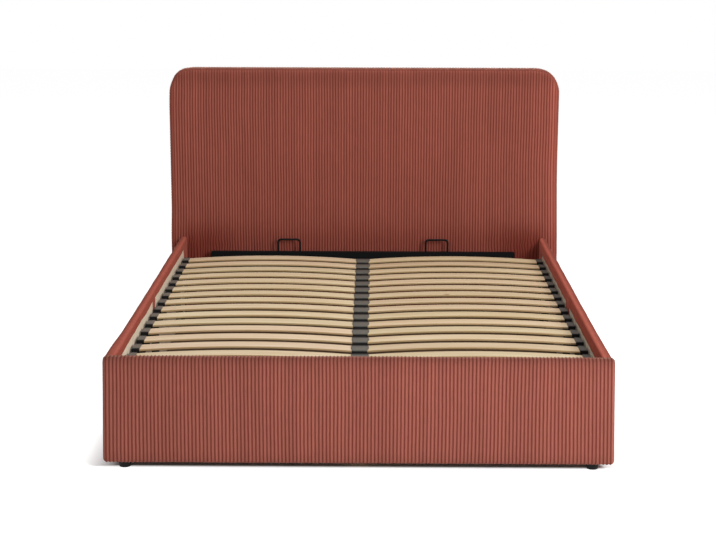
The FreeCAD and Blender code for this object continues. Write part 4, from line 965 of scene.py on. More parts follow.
    # Painted shade: the border's sides and top are taken darker towards the top; the top's painted shade and the edges'
    # painted highlight join each rib's tone.
    on_side = smooth_step((np.array([ring[3] for ring in rings]) - 0.9) / 0.6)[:, None]
    painted_shade = 0.3 * on_side * smooth_step((border[..., 2] - 0.95) / 0.12) / TONE_SPREAD
    tones.append((rib_tone(border_turns, 14) - painted_top_shade(border[..., 2]) - painted_shade + painted_side_highlight(border[..., 0])).ravel())
    return np.concatenate(points), faces, {"rib_height": np.concatenate(shades), "rib_tone": np.concatenate(tones)}


# Rail and footboard covers

TOP_ROUNDS = (0.0122, 0.0117)
LOW_WRAP = 0.02
LAP_START = 0.035
LAP_SPANS = 12
INNER_DRAW = 0.35
FOOTBOARD_BEND = 0.011
# past the footboard's last rib: how far beyond it, how far into the next rib, and how far the section draws in
FOOTBOARD_END = (np.array([0.0002, 0.0006, 0.0008]), np.array([0.15, 0.35, 0.5]), np.array([0.013, 0.015, 0.0158]))


def board_cover(
    thickness, low, high, skins, rounds, lap, low_wrap, stations, turns, settings, seed, ends,
    glow=(0, 0), dims=(0, 0), end_wall=0.0,
):
    """The closed skin of a padded board, in its own coordinates: out from the bed, along the board, up.

    A section is carried along the stations: up the inner lap, over the top, down the face, under the low edge
    and up to the low wrap, then back along the hollow that the board fills. The lap's lower edge is a height
    for each station. Ribs push the outer points along their normals, and the settled cloth moves the outer face.
    Ends gives how far the section draws in at each station, glow the painted light on the lap and on the top, how much
    brighter the cloth is painted there, and dims the painted shade along the face's top and low edges, how much darker
    it is painted there. Nearer to an end than end_wall the hollow shrinks to a slit, which closes the end over the
    board.
    """
    outer_round, inner_round, edge_round, low_round = rounds
    skin, face_padding, top_padding = skins
    base = rounded_path(
        [(0, high - LAP_START), (0, high), (thickness, high), (thickness, low), (0, low), (0, low + low_wrap)],
        [inner_round, outer_round, edge_round, low_round],
        [LAP_SPANS, 2, 18, 3, 3],
        7,
    )
    normals = path_normals(base)
    count = len(base)
    hollow = np.array(
        [
            (skin, low + low_wrap),
            (skin, low + skin),
            (thickness - face_padding, low + skin),
            (thickness - face_padding, high - top_padding),
            (skin, high - top_padding),
            (skin, high - LAP_START),
        ]
    )
    section = np.concatenate([base, hollow])
    normals = np.concatenate([normals, np.zeros((len(hollow), 2))])
    out = np.repeat(section[:, :1], len(stations), axis=1)
    up = np.repeat(section[:, 1:], len(stations), axis=1)
    reach = (high - inner_round) - base[0, 1]
    for index in range(LAP_SPANS + 1):
        part = (high - inner_round - base[index, 1]) / reach
        up[index] = high - inner_round - part * (high - inner_round - lap)
    up[-1] = lap
    carry = np.ones(len(section))
    carry[count:] = 0
    carry[[0, count - 1]] = 0.2
    height = rib_height(turns)[None, :] * np.where(carry[:, None] > 0, 1, 0)
    along = np.broadcast_to(stations, out.shape)
    soft = settings.softness * drift(along, up + out, 0.28, seed) * carry[:, None]
    push = settings.rib_depth * (height - 0.62) * carry[:, None] + 0.4 * soft
    middle = np.array([thickness / 2, (low + high) / 2])
    draw = np.where(out < middle[0], INNER_DRAW, 1.0) * ends
    toward = np.sign(middle[0] - out) * np.minimum(draw, np.abs(middle[0] - out))
    on_face = (section[:, 0] > 0.9 * thickness) & (np.arange(len(section)) < count)
    face_puff = settings.puff * 0.6
    moves = settled_cloth(stations[-1] - stations[0], high - low, face_puff, seed + 3)
    move = read_moves(moves, (along - stations[0]) / (stations[-1] - stations[0]), (up - low) / (high - low))
    move = move * on_face[:, None, None]
    out = out + normals[:, :1] * -push + toward + move[..., 1]
    up = up + normals[:, 1:] * -push + np.sign(middle[1] - up) * ends + move[..., 2]
    walled = np.minimum(stations - stations[0], stations[-1] - stations) < end_wall
    slit = np.arange(len(hollow))[:, None] * np.ones(walled.sum())
    out[count:, walled] = INNER_DRAW * ends[walled] + 0.0006 + 0.00008 * slit
    up[count:, walled] = low + low_wrap + ends[walled] - 0.0003 * slit
    calm = smooth_step(np.minimum(along - stations[0], stations[-1] - along) / 0.05)
    wander = settings.rib_wander * stray(along, up, seed + 1) * calm * carry[:, None] + move[..., 0]
    points = np.stack([out, along + wander, up], axis=-1)
    rows, columns = out.shape
    faces = tube_faces(rows, columns)
    shade_amounts = np.where(carry[:, None] > 0, rib_shade(turns)[None, :], 0.2)
    # Painted light on the lap and on the top, and painted shade along the face's top and low edges, both added to each
    # rib's tone.
    on_lap = 1 - smooth_step((section[:, 0] - 0.001) / 0.014)
    on_top = smooth_step((section[:, 1] - high + 0.02) / 0.012) * (1 - on_lap)
    nap = (glow[0] * on_lap + glow[1] * on_top) / TONE_SPREAD
    from_top, from_low = high - section[:, 1], section[:, 1] - low
    top_dim = 0.75 * (1 - smooth_step((from_top - 0.002) / 0.016)) + 0.25 * (1 - smooth_step(from_top / 0.08))
    painted_shade = (dims[0] * top_dim + dims[1] * (1 - smooth_step(from_low / 0.05))) / TONE_SPREAD
    tone = rib_tone(turns, seed + 2)[None, :] + (nap - painted_shade)[:, None]
    return points.reshape(-1, 3), faces, {"rib_height": shade_amounts.ravel(), "rib_tone": tone.ravel()}


def run_stations(start, end, pitch):
    """Stations along a board with whole ribs between its ends, and their place in ribs."""
    ribs = round((end - start) / pitch)
    turns = rib_turns(ribs)
    return start + turns * (end - start) / ribs, turns


def lap_edge(stations, high, lap, wrap_start, wrap_end, low_wrap, soften, seed):
    """Height of the lap's lower edge: lap below the top, and down to the low wrap at both ends."""
    ragged = 0.0024 * drift(stations, 0 * stations, 0.16, seed) + 0.0011 * drift(stations, 0 * stations, 0.04, seed + 5)
    edge = high - lap + ragged
    from_start = smooth_step((stations - stations[0] - wrap_start) / soften)
    from_end = smooth_step((stations[-1] - wrap_end - stations) / soften)
    inside = from_start * from_end
    return low_wrap + (edge - low_wrap) * inside


class BED_OT_headboard_cover(bpy.types.Operator):
    """Build the headboard's padded ribbed cover"""

    bl_idname = "bed.headboard_cover"
    bl_label = "Headboard cover"

    def execute(self, context):
        settings = context.scene.bed_cover
        points, faces, values = make_headboard_cover(settings)
        # A shaded copy of the boards' cloth: its darker colours are painted shade.
        cloth = cloth_material(
            "headboard cover cloth", settings.headboard_crest_shaded, settings.headboard_groove_shaded, TONE_SPREAD
        )
        piece = build_piece("headboard_cover", points, faces, values, [cloth])
        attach(piece, "frame")
        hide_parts("headboard_upholstery")
        return {"FINISHED"}


def ribbed_cloth(settings):
    """The cover's material on the low boards, built once."""
    found = bpy.data.materials.get("ribbed cover cloth")
    return found or cloth_material("ribbed cover cloth", settings.crest, settings.groove, TONE_SPREAD)


class BED_OT_footboard_cover(bpy.types.Operator):
    """Build the footboard's padded ribbed cover"""

    bl_idname = "bed.footboard_cover"
    bl_label = "Footboard cover"

    def execute(self, context):
        settings = context.scene.bed_cover
        low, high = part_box("footboard_upholstery")
        stations, turns = run_stations(low.x, high.x, settings.rib_pitch * 0.985)
        from_end = np.minimum(stations - low.x, high.x - stations)
        ends = FOOTBOARD_BEND * (1 - np.sqrt(1 - np.clip(1 - from_end / FOOTBOARD_BEND, 0, 1) ** 2))
        beyond, rib_part, inset = FOOTBOARD_END
        stations = np.concatenate([stations[0] - beyond[::-1], stations, stations[-1] + beyond])
        turns = np.concatenate([-rib_part[::-1], turns, turns[-1] + rib_part])
        ends = np.concatenate([inset[::-1], ends, inset])
        lap = lap_edge(stations, high.z, 0.035, 0.045, 0.045, low.z + LOW_WRAP, 0.02, 21)
        thickness = high.y - low.y
        # dims paints shade along the footboard face's top and low edges.
        points, faces, values = board_cover(
            thickness, low.z, high.z, (0.0013, 0.012, 0.008), (0.011, 0.007, 0.009, 0.0015), lap, LOW_WRAP,
            stations, turns, settings, 22, ends, dims=(0.36, 0.08), end_wall=0.0075,
        )
        x, z = points[:, 1], points[:, 2]
        flare = 0.0062 - 0.0085 * np.clip((z - low.z) / (high.z - low.z), 0, 1)
        x = x + np.sign(x) * flare * smooth_step((np.abs(x) - 0.4) / 0.42)
        turned = np.stack([x, high.y - points[:, 0], z], axis=1)
        piece = build_piece("footboard_cover", turned, faces, values, [ribbed_cloth(settings)])
        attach(piece, "frame")
        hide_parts("footboard_upholstery")
        return {"FINISHED"}


# how deep the lap hangs inside, how much painted light brightens it on the lap and on the top, and how far the rail
# bulges at the foot end
RAIL_LAPS = {"left": 0.036, "right": 0.053}
RAIL_PAINTED_LIGHT = {"left": (0.6, 0.2), "right": (1.25, 0.17)}
RAIL_BULGES = {"left": 0.0065, "right": 0.003}
# how much of each end, towards the foot and towards the head, is wrapped in cover
RAIL_WRAPS = {
    "left_front": (0.045, 0.012),
    "left_rear": (0.006, 0.09),
    "right_front": (0.045, 0.006),
    "right_rear": (0.05, 0.09),
}


class BED_OT_rail_covers(bpy.types.Operator):
    """Build the four padded ribbed covers of the side rails"""

    bl_idname = "bed.rail_covers"
    bl_label = "Rail covers"

    def execute(self, context):
        settings = context.scene.bed_cover
        for seed, (side_name, side) in enumerate(SIDES):
            for end_seed, end_name in enumerate(("front", "rear")):
                key = f"{side_name}_{end_name}"
                node_name = "side_upholstery_" + key
                low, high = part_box(node_name)
                stations, turns = run_stations(low.y, high.y, settings.rib_pitch)
                own = 31 + 20 * seed + 7 * end_seed
                start_wrap, end_wrap = RAIL_WRAPS[key]
                wrap_top = low.z + LOW_WRAP
                lap = lap_edge(stations, high.z, RAIL_LAPS[side_name], start_wrap, end_wrap, wrap_top, 0.022, own)
                points, faces, values = board_cover(
                    high.x - low.x, low.z, high.z, (0.0013, 0.0051, 0.008), (*TOP_ROUNDS, 0.009, 0.0015), lap, LOW_WRAP,
                    stations, turns, settings, own + 1, np.zeros(len(stations)), RAIL_PAINTED_LIGHT[side_name],
                )
                inner = low.x if side > 0 else high.x
                placed = points.copy()
                placed[:, 0] = inner + side * points[:, 0]
                outer_share = smooth_step((points[:, 0] - 0.004) / 0.012)
                near_foot = smooth_step((-0.55 - points[:, 1]) / 0.45)
                placed[:, 0] += side * RAIL_BULGES[side_name] * outer_share * near_foot
                piece = build_piece(f"rail_cover_{key}", placed, faces, values, [ribbed_cloth(settings)])
                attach(piece, "frame")
                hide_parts(node_name)
        return {"FINISHED"}


# Slats

SLAT_TONES = 41
SLAT_THICKNESS = 0.008
SLAT_TAB_INNER = 0.0267
SLAT_TAB_OUTER = 0.0246
# Painted shade: each column's veneer is a copy of one wood, the right's painted much darker and warmer for the light it
# gets.
SLAT_PAINTED_SHADE = {"left": (0.99, 0.975, 0.99), "right": (0.89, 0.865, 0.845)}


def strip_section(width, thickness, radius, long_spans=1, short_spans=1):
    """A rounded strip's outline, counterclockwise from its lower right corner: four arcs joined by divided sides."""
    turn = np.linspace(0, math.pi / 2, 5)
    arcs = []
    for index, (across, up) in enumerate(((1, -1), (1, 1), (-1, 1), (-1, -1))):
        angle = turn + (index - 1) * math.pi / 2
        centre = np.array([across * (width / 2 - radius), up * (thickness / 2 - radius)])
        arcs.append(centre + radius * np.stack([np.cos(angle), np.sin(angle)], axis=1))
    outline = []
    for index, arc in enumerate(arcs):
        spans = short_spans if index % 2 == 0 else long_spans
        steps = np.linspace(0, 1, spans + 1)[1:-1, None]
        following = arcs[(index + 1) % 4][0]
        outline += [arc, arc[-1] + (following - arc[-1]) * steps]
    return np.concatenate(outline)


def make_slats(side_name, side, settings):
    """One column of sprung slats: a rounded strip section carried along a low arch, sixteen times."""
    low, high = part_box("slats_" + side_name)
    inner, outer = (low.x, high.x) if side > 0 else (high.x, low.x)
    rise = high.z - low.z - SLAT_THICKNESS
    places = np.concatenate([np.linspace(0, 0.03, 3), np.linspace(0.03, 0.97, 34)[1:-1], np.linspace(0.97, 1, 3)])
    section = strip_section(SLAT_WIDTH, SLAT_THICKNESS, settings.edge_radius)
    random = np.random.default_rng(SLAT_TONES + side)
    span = abs(outer - inner)
    points, faces, tones, hues, start = [], [], [], [], 0
    on_edge = smooth_step((np.abs(section[:, 0]) - SLAT_WIDTH / 2 + 0.0016) / 0.0014)
    run = places * span
    arch_span = span - SLAT_TAB_INNER - SLAT_TAB_OUTER
    along = np.clip((run - SLAT_TAB_INNER) / arch_span, 0, 1)
    for row in slat_rows()[0]:
        bow = rise * random.uniform(0.93, 1.0)
        lift = bow * 4 * along * (1 - along)
        shift = random.uniform(-0.0008, 0.0008)
        skew = random.uniform(-0.0012, 0.0012)
        centre = row + shift + skew * (places - 0.5)
        x = inner + side * run
        grid = np.stack(
            [
                np.broadcast_to(x, (len(section), len(x))),
                centre[None, :] + section[:, :1],
                low.z + SLAT_THICKNESS / 2 + lift[None, :] + section[:, 1:],
            ],
            axis=-1,
        )
        rows, columns = grid.shape[:2]
        faces += tube_faces(rows, columns, start)
        points.append(grid.reshape(-1, 3))
        tones.append(np.full(rows * columns, random.uniform(-1, 1)))
        hues.append(np.full(rows * columns, random.uniform(0, 1)))
        start += rows * columns
    edges = np.tile(np.repeat(on_edge, columns), SLAT_COUNT)
    values = {"strip_tone": np.concatenate(tones), "strip_hue": np.concatenate(hues), "strip_edge": edges}
    return np.concatenate(points), faces, values


class BED_OT_slats(bpy.types.Operator):
    """Build the two columns of sprung slats"""

    bl_idname = "bed.slats"
    bl_label = "Slats"

    def execute(self, context):
        settings = context.scene.bed_wood
        for side_name, side in SIDES:
            light, dark = (tinted(value, SLAT_PAINTED_SHADE[side_name]) for value in (settings.slat_light, settings.slat_dark))
            veneer = wood_material(
                "slat veneer " + side_name, light, dark, (0.05, 1.0, 1.0), 55.0, settings.knot, 0.8
            )
            points, faces, values = make_slats(side_name, side, settings)
            piece = build_piece("sprung_slats_" + side_name, points, faces, values, [veneer], math.radians(40))
            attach(piece, "platform")
            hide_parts("slats_" + side_name)
        return {"FINISHED"}


def make_middle_holders():
    """Double sleeves over the slats' inner ends: a rounded section carried across the bed, once for each row.

    Each closed shell runs from the end wall of one pocket out of its mouth, over the outside and into the other
    pocket. A mouth lies furthest out on the slat's centre line and draws in with the square of the distance from
    it. The share painted lit is 1 on the top and fades, as painted shade, down the side that faces the foot end and
    towards the rear.
    """
    low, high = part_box("slat_holders_centre")
    slats_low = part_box("slats_left")[0]
    rows = slat_rows()[0]
    half_width, height = high.y - rows[0], high.z - low.z
    outside = strip_section(2 * half_width, height, 0.0036, 14, 4) + (0, low.z + height / 2)
    crowned = smooth_step((outside[:, 1] - low.z) / height)
    outside[:, 1] -= 0.0009 * crowned * (outside[:, 0] / half_width) ** 2
    pocket = strip_section(SLAT_WIDTH + 0.0006, 0.0086, 0.0022, 14, 4) + (0, slats_low.z + 0.0041)
    mouths = ((-0.0257, -0.0032), (0.0268, 0.0058))
    lips = ((0.0014, 0.0), (0.0004, 0.3), (0.0, 0.62), (0.0005, 0.9), (0.002, 1.0))

    def ring(side, inward, share):
        """A section near the left (0) or right (1) mouth: share 0 is the pocket's, 1 the outside's."""
        section = pocket + (outside - pocket) * share
        edge, bow = mouths[side]
        x = edge + bow * (1 - (section[:, 0] / half_width) ** 2) + (inward if side == 0 else -inward)
        return np.column_stack([x, section])

    wall = np.full(len(pocket), 0.0011)
    left, right = ([ring(side, *lip) for lip in lips] for side in (0, 1))
    between = [left[-1] + (right[-1] - left[-1]) * part for part in (0.2, 0.4, 0.5, 0.6, 0.8)]
    rings = [np.column_stack([-wall, pocket]), *left, *between, *right[::-1], np.column_stack([wall, pocket])]
    shell = np.stack(rings, axis=1)
    count_rows, columns = shell.shape[:2]
    covered = np.array([0, *(share for _, share in lips), *[1] * 5, *(share for _, share in lips[::-1]), 0])
    front = smooth_step((shell[..., 2] - high.z + 0.008) / 0.006)
    rear = 1 - smooth_step((shell[..., 1] - 0.008) / 0.013)
    lit_share = front * rear * covered
    random = np.random.default_rng(71)
    points, faces, lit_shares = [], [], []
    for index, row in enumerate(rows):
        points.append((shell + (random.uniform(-0.0006, 0.0006), row, 0)).reshape(-1, 3))
        lit_shares.append((lit_share * random.uniform(0.88, 1.0)).ravel())
        faces += tube_faces(count_rows, columns, index * count_rows * columns)
    return np.concatenate(points), faces, {"lit_share": np.concatenate(lit_shares)}


class BED_OT_middle_holders(bpy.types.Operator):
    """Build the double slat holders on the middle line"""

    bl_idname = "bed.middle_holders"
    bl_label = "Middle holders"

    def execute(self, context):
        points, faces, values = make_middle_holders()
        plastic = middle_holder_material(context.scene.bed_hardware)
        piece = build_piece("middle_slat_holders", points, faces, values, [plastic], math.radians(50))
        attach(piece, "platform")
        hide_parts("slat_holders_centre")
        return {"FINISHED"}


LINING_RADIUS = 0.0917


class BED_OT_back_lining(bpy.types.Operator):
    """Build the thin cloth stapled over the headboard's back"""

    bl_idname = "bed.back_lining"
    bl_label = "Back lining"

    def execute(self, context):
        settings = context.scene.bed_cover
        low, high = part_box("headboard_back_cover")
        half_width, radius = high.x, LINING_RADIUS
        columns = np.linspace(-half_width, half_width, 141)
        over = np.clip(np.abs(columns) - (half_width - radius), 0, radius)
        top = high.z - radius + np.sqrt(np.maximum(radius**2 - over**2, 0))
        rows = np.linspace(0, 1, 91)[:, None]
        up = low.z + (top - low.z)[None, :] * rows
        x = np.broadcast_to(columns, up.shape)
        edge = np.minimum(np.minimum(half_width - np.abs(x), up - low.z), top[None, :] - up)
        between_stiles = smooth_step((-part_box("headboard_stile_left")[1].x - np.abs(x)) / 0.14)
        above_bar = smooth_step((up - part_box("headboard_crossbar")[1].z) / 0.1)
        sag = 0.006 * between_stiles * above_bar * smooth_step(edge / 0.15) * (0.75 + 0.25 * drift(x, up, 0.4, 61))
        pull = 0.0006 * np.sin(2 * math.pi * (x + up) / 0.05) * (1 - smooth_step(edge / 0.03))
        rear = high.y - 0.0003
        outer = np.stack([x, rear - sag + pull, up], axis=-1)
        inner = np.stack([x, rear - sag + pull - 0.0009, up], axis=-1)
        count_rows, count_columns = up.shape
        start = count_rows * count_columns
        faces = grid_faces(count_rows, count_columns).tolist() + grid_faces(count_rows, count_columns, start).tolist()
        rim = grid_rim(count_rows, count_columns)
        following = np.roll(rim, -1)
        faces += np.stack([rim, following, start + following, start + rim], axis=1).tolist()
        points = np.concatenate([outer.reshape(-1, 3), inner.reshape(-1, 3)])
        cloth = fleck_material(
            "back lining cloth", settings.lining, darker(settings.lining, 0.5),
            700.0, 20.0, (0.85, 0.12), 0.0, 0.5, 0.0004
        )
        piece = build_piece("headboard_back_lining", points, faces, {}, [cloth])
        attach(piece, "frame")
        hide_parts("headboard_back_cover")
        return {"FINISHED"}


def make_staples():
    """Staples round the back lining: a flat wire carried over a low crown, at equal steps along an inset outline."""
    low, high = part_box("headboard_back_cover")
    inset = 0.011
    radius = LINING_RADIUS - inset
    reach, bottom, top = high.x - inset, low.z + inset, high.z - inset
    outline = rounded_path(
        [(0, bottom), (-reach, bottom), (-reach, top), (reach, top), (reach, bottom), (0, bottom)],
        [0.004, radius, radius, 0.004],
        [2, 2, 2, 2, 2],
        16,
    )
    run = np.concatenate([[0], np.cumsum(np.linalg.norm(np.diff(outline, axis=0), axis=1))])
    count = round(run[-1] / 0.052)
    random = np.random.default_rng(83)
    stations = (np.arange(count) + random.uniform(0.35, 0.65, count)) * run[-1] / count
    centre, ahead = (
        np.stack([np.interp(at, run, outline[:, axis]) for axis in (0, 1)], axis=1)
        for at in (stations, stations + 0.002)
    )
    heading = np.arctan2(*(ahead - centre).T[::-1]) + random.uniform(-0.2, 0.2, count)
    wire, inner = (
        np.array([(-end, -0.0016), (-end, -0.0002), (-crown, up), (crown, up), (end, -0.0002), (end, -0.0016)])
        for end, crown, up in ((0.005, 0.0046, 0.00035), (0.0045, 0.0043, -0.0001))
    )
    along, out = (np.stack([wire[:, axis], wire[:, axis], inner[:, axis], inner[:, axis]]) for axis in (0, 1))
    across = np.array([-0.00035, 0.00035, 0.00035, -0.00035])[:, None] * np.ones(len(wire))
    points, faces = [], []
    for index in range(count):
        cosine, sine = math.cos(heading[index]), math.sin(heading[index])
        x = centre[index, 0] + along * cosine - across * sine
        z = centre[index, 1] + along * sine + across * cosine
        points.append(np.stack([x, high.y + out, z], axis=-1).reshape(-1, 3))
        faces += tube_faces(*along.shape, index * along.size)
    return np.concatenate(points), faces


class BED_OT_staples(bpy.types.Operator):
    """Build the staples that hold the back lining"""

    bl_idname = "bed.staples"
    bl_label = "Staples"

    def execute(self, context):
        settings = context.scene.bed_hardware
        points, faces = make_staples()
        steel = fleck_material("staple wire", settings.zinc, darker(settings.zinc, 0.6), 700.0, 60.0, (0.3, 0.2), 1.0)
        piece = build_piece("lining_staples", points, faces, {}, [steel], math.radians(30))
        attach(piece, "frame")
        return {"FINISHED"}


class BED_OT_pull_strap(bpy.types.Operator):
    """Build the webbing handle on the foot tube"""

    bl_idname = "bed.pull_strap"
    bl_label = "Pull strap"

    def execute(self, context):
        settings = context.scene.bed_hardware
        low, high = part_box("pull_strap")
        half, width = high.x, high.y - low.y
        thickness, tab = 0.0022, 0.03
        places = np.linspace(-half, half, 91)
        along = np.clip((places + half - tab) / (2 * half - 2 * tab), 0, 1)
        rise = (high.z - low.z - 0.0025) * np.sin(math.pi * along) ** 1.15
        turn = np.linspace(0, 2 * math.pi, 24, endpoint=False)
        edge = 2.0 / 9.0
        across = width / 2 * np.sign(np.cos(turn)) * np.abs(np.cos(turn)) ** edge
        rib = 0.00018 * np.cos(2 * math.pi * across / 0.003)
        up = (thickness / 2) * np.sign(np.sin(turn)) * np.abs(np.sin(turn)) ** 0.5
        up = up + np.sign(up) * rib
        grid = np.stack(
            [
                np.broadcast_to(places, (len(turn), len(places))),
                np.broadcast_to(((low.y + high.y) / 2 + across)[:, None], (len(turn), len(places))),
                low.z + thickness / 2 + 0.0002 + rise[None, :] + up[:, None],
            ],
            axis=-1,
        )
        rows, columns = grid.shape[:2]
        faces = tube_faces(rows, columns)
        weave = fleck_material(
            "pull strap webbing", settings.webbing, darker(settings.webbing, 0.55),
            900.0, 60.0, (0.7, 0.2), 0.0, 0.6, 0.0004
        )
        piece = build_piece("pull_strap_webbing", grid.reshape(-1, 3), faces, {}, [weave])
        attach(piece, "platform")
        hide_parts("pull_strap")
        return {"FINISHED"}


class BED_OT_wood_finish(bpy.types.Operator):
    """Give the boards, battens and storage floor their finishes"""

    bl_idname = "bed.wood_finish"
    bl_label = "Wood finishes"

    def execute(self, context):
        settings = context.scene.bed_wood
        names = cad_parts
        board = fleck_material(
            "bare board", settings.board_light, settings.board_dark, 420.0, 16.0, (0.6, 0.25), 0.0, 0.3, 0.0003
        )
        bare = [name for name in names if name.startswith("side_board")]
        dress([*bare, "footboard_board", "headboard_board"], board)
        upright = wood_material("upright timber", settings.timber_light, settings.timber_dark, (1.0, 1.0, 0.06), 45.0)
        dress([name for name in names if name.startswith("headboard_stile")], upright)
        across = wood_material("cross timber", settings.timber_light, settings.timber_dark, (0.06, 1.0, 1.0), 45.0)
        dress(["headboard_crossbar"], across)
        lengthwise = wood_material("long timber", settings.timber_light, settings.timber_dark, (1.0, 0.06, 1.0), 45.0)
        dress(["floor_ledger_left", "floor_ledger_right", "centre_beam"], lengthwise)
        panel = fleck_material(
            "storage floor board", settings.panel_light, settings.panel_dark,
            600.0, 10.0, (0.55, 0.25), 0.0, 0.3, 0.0003
        )
        dress([name for name in names if name.startswith("storage_panel")], panel)
        return {"FINISHED"}


class BED_OT_hardware_finish(bpy.types.Operator):
    """Give the steel, bolts, struts, holders and feet their finishes"""

    bl_idname = "bed.hardware_finish"
    bl_label = "Hardware finishes"

    def execute(self, context):
        settings = context.scene.bed_hardware
        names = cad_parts
        coat = fleck_material(
            "black powder coat", settings.coat, darker(settings.coat, 0.6), 900.0, 8.0, (0.5, 0.2), 0.0, 0.35, 0.0003
        )
        coat.node_tree.nodes["Principled BSDF"].inputs["Specular IOR Level"].default_value = 0.1
        starts = (
            "platform_", "head_bar", "mattress_loop", "corner_bracket", "joint_plate", "hinge_plate", "lift_arm",
            "strut_cylinder",
        )
        dress([name for name in names if name.startswith(starts)], coat)
        zinc = fleck_material("zinc plate", settings.zinc, darker(settings.zinc, 0.7), 500.0, 40.0, (0.28, 0.2), 1.0)
        dress(["frame_bolts"], zinc)
        chrome = fleck_material(
            "polished rod", settings.chrome, darker(settings.chrome, 0.8), 300.0, 25.0, (0.08, 0.12), 1.0, 0.05
        )
        dress(["strut_rod_left", "strut_rod_right"], chrome)
        holder = side_holder_material(settings)
        dress(["slat_holders_left", "slat_holders_right", "slat_holders_centre"], holder)
        foot = fleck_material(
            "foot plastic", settings.foot, darker(settings.foot, 0.6), 500.0, 25.0, (0.45, 0.2), 0.0, 0.3
        )
        foot.node_tree.nodes["Principled BSDF"].inputs["Specular IOR Level"].default_value = 0.2
        dress([name for name in names if "_foot_" in name and not name.startswith(("corner", "platform"))], foot)
        return {"FINISHED"}


class BED_OT_stage(bpy.types.Operator):
    """Build the floor, the lights and the camera"""

    bl_idname = "bed.stage"
    bl_label = "Stage"

    def execute(self, context):
        settings = context.scene.bed_stage
        make_floor(settings)
        make_world(settings)
        make_lamps(settings)
        make_camera()
        context.scene.view_settings.view_transform = "Standard"
        return {"FINISHED"}


def seen_directly(tree):
    """1 for rays that show the background: from the camera, from a reflection or through glass."""
    path = node(tree, "LightPath")
    glossy = math_node(tree, "MAXIMUM", path.outputs["Is Camera Ray"], path.outputs["Is Glossy Ray"])
    return math_node(tree, "MAXIMUM", glossy, path.outputs["Is Transmission Ray"])


def make_floor(settings):
    """A wide pale floor that keeps the bed's shadow: its glow for the camera fades towards the bed."""
    reach = 14.0
    points = np.array([(-reach, -reach, 0), (reach, -reach, 0), (reach, reach, 0), (-reach, reach, 0)])
    material, tree, shader = new_material("pale floor")
    place = node(tree, "TexCoord").outputs["Object"]
    cloud = node(tree, "TexNoise", [("Vector", place), ("Scale", 0.8), ("Detail", 2.0)]).outputs[0]
    tint = mix_colours(tree, cloud, settings.floor, darker(settings.floor, 0.985))
    tree.links.new(tint, shader.inputs["Base Color"])
    shader.inputs["Roughness"].default_value = 0.9
    shader.inputs["Specular IOR Level"].default_value = 0.0
    apart = node(tree, "SeparateXYZ", [(0, place)]).outputs
    beside = math_node(tree, "SUBTRACT", math_node(tree, "ABSOLUTE", apart[0], 0.0), 0.8)
    before = math_node(tree, "SUBTRACT", math_node(tree, "ABSOLUTE", apart[1], 0.0), 1.05)
    glows = [
        node(
            tree, "MapRange", [("Value", away), ("From Min", near), ("From Max", far), ("To Min", 0.0), ("To Max", 0.7)]
        ).outputs[0]
        for away, near, far in ((beside, -0.01, 0.11), (before, -0.038, -0.022))
    ]
    share_of_glow = math_node(tree, "MAXIMUM", *glows)
    glow = node(tree, "Emission", [("Color", (1, 1, 1, 1))])
    tree.links.new(math_node(tree, "MULTIPLY", seen_directly(tree), share_of_glow), glow.inputs["Strength"])
    total = node(tree, "AddShader", [(0, shader.outputs[0]), (1, glow.outputs[0])])
    tree.links.new(total.outputs[0], tree.nodes["Material Output"].inputs["Surface"])
    mesh = bpy.data.meshes.new("floor")
    mesh.from_pydata(points.tolist(), [], [(0, 1, 2, 3)])
    mesh.materials.append(material)
    floor = bpy.data.objects.new("floor", mesh)
    bpy.context.scene.collection.objects.link(floor)


def make_world(settings):
    """Even white light, and a white background for the camera."""
    world = bpy.data.worlds.new("studio")
    world.use_nodes = True
    tree = world.node_tree
    background = tree.nodes["Background"]
    background.inputs["Color"].default_value = (1, 1, 1, 1)
    seen = seen_directly(tree)
    rest = math_node(tree, "MULTIPLY", math_node(tree, "SUBTRACT", 1.0, seen), settings.ambient)
    tree.links.new(math_node(tree, "ADD", seen, rest), background.inputs["Strength"])
    bpy.context.scene.world = world


def aim(place, target):
    """A matrix that stands at a place and looks at a target."""
    place, target = np.array(place, float), np.array(target, float)
    forward = (target - place) / np.linalg.norm(target - place)
    right = np.cross(forward, (0, 0, 1))
    right = right / np.linalg.norm(right)
    up = np.cross(right, forward)
    matrix = Matrix.Identity(4)
    for row in range(3):
        matrix[row][0], matrix[row][1], matrix[row][2] = right[row], up[row], -forward[row]
        matrix[row][3] = place[row]
    return matrix


def make_lamps(settings):
    """A broad soft lamp from the front right, a weak one from the front left and a weak one overhead."""
    for name, place, power, size in (
        ("key lamp", (2.7, -4.3, 2.6), settings.key, 1.4),
        ("fill lamp", (-2.6, -4.2, 2.2), settings.key * 0.07, 2.4),
        ("top lamp", (0.2, 0.0, 3.3), settings.key * 0.25, 2.2),
    ):
        lamp = bpy.data.lights.new(name, "AREA")
        lamp.energy = power
        lamp.shape = "DISK"
        lamp.size = size
        stand = bpy.data.objects.new(name, lamp)
        stand.matrix_world = aim(place, (0.0, 0.2, 0.45))
        bpy.context.scene.collection.objects.link(stand)


CAMERA_PLACE = (0.04436, -5.95743, 1.71586)
CAMERA_TURNS = (0.00949, 0.21117, 0.00223)
CAMERA_LENS = 79.91


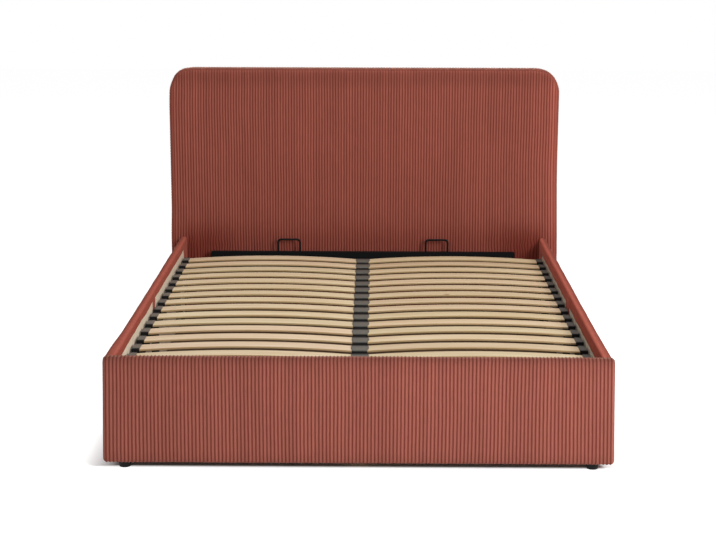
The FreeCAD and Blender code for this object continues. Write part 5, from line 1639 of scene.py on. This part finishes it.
def make_camera():
    """The photograph's camera: level but for a slight roll, pitched down from the foot end."""
    yaw, pitch, roll = CAMERA_TURNS
    turn = Matrix(((math.cos(yaw), math.sin(yaw), 0), (-math.sin(yaw), math.cos(yaw), 0), (0, 0, 1)))
    base = Matrix(((1, 0, 0), (0, 0, -1), (0, 1, 0)))
    tilt = Matrix(((1, 0, 0), (0, math.cos(pitch), -math.sin(pitch)), (0, math.sin(pitch), math.cos(pitch))))
    tip = Matrix(((math.cos(roll), -math.sin(roll), 0), (math.sin(roll), math.cos(roll), 0), (0, 0, 1)))
    right, down, forward = tip @ tilt @ base @ turn
    matrix = Matrix.Identity(4)
    for row in range(3):
        matrix[row][0], matrix[row][1], matrix[row][2] = right[row], -down[row], -forward[row]
        matrix[row][3] = CAMERA_PLACE[row]
    data = bpy.data.cameras.new("camera")
    data.sensor_fit = "HORIZONTAL"
    data.sensor_width = 36.0
    data.lens = CAMERA_LENS
    camera = bpy.data.objects.new("camera", data)
    camera.matrix_world = matrix
    bpy.context.scene.collection.objects.link(camera)
    bpy.context.scene.camera = camera


class BED_PT_panel(bpy.types.Panel):
    bl_label = "Storage bed"
    bl_idname = "BED_PT_panel"
    bl_space_type = "VIEW_3D"
    bl_region_type = "UI"
    bl_category = "Storage bed"

    def draw(self, context):
        layout = self.layout
        for label in SETTINGS:
            group = getattr(context.scene, label)
            box = layout.box()
            for name in group.bl_rna.properties.keys():
                if name not in ("rna_type", "name"):
                    box.prop(group, name)
        for operator in OPERATORS:
            layout.operator(operator.bl_idname)


SETTINGS = {
    "bed_cover": CoverSettings,
    "bed_wood": WoodSettings,
    "bed_hardware": HardwareSettings,
    "bed_stage": StageSettings,
}
OPERATORS = (
    BED_OT_headboard_cover,
    BED_OT_footboard_cover,
    BED_OT_rail_covers,
    BED_OT_slats,
    BED_OT_middle_holders,
    BED_OT_back_lining,
    BED_OT_staples,
    BED_OT_pull_strap,
    BED_OT_wood_finish,
    BED_OT_hardware_finish,
    BED_OT_stage,
)


def register():
    for label, group in SETTINGS.items():
        bpy.utils.register_class(group)
        setattr(bpy.types.Scene, label, bpy.props.PointerProperty(type=group))
    for operator in OPERATORS:
        bpy.utils.register_class(operator)
    bpy.utils.register_class(BED_PT_panel)


def unregister():
    bpy.utils.unregister_class(BED_PT_panel)
    for operator in reversed(OPERATORS):
        bpy.utils.unregister_class(operator)
    for label, group in SETTINGS.items():
        delattr(bpy.types.Scene, label)
        bpy.utils.unregister_class(group)


def main():
    """Build every piece and the stage."""
    register()
    bpy.ops.bed.headboard_cover()
    bpy.ops.bed.footboard_cover()
    bpy.ops.bed.rail_covers()
    bpy.ops.bed.slats()
    bpy.ops.bed.middle_holders()
    bpy.ops.bed.back_lining()
    bpy.ops.bed.staples()
    bpy.ops.bed.pull_strap()
    bpy.ops.bed.wood_finish()
    bpy.ops.bed.hardware_finish()
    bpy.ops.bed.stage()


if __name__ == "__main__":
    main()
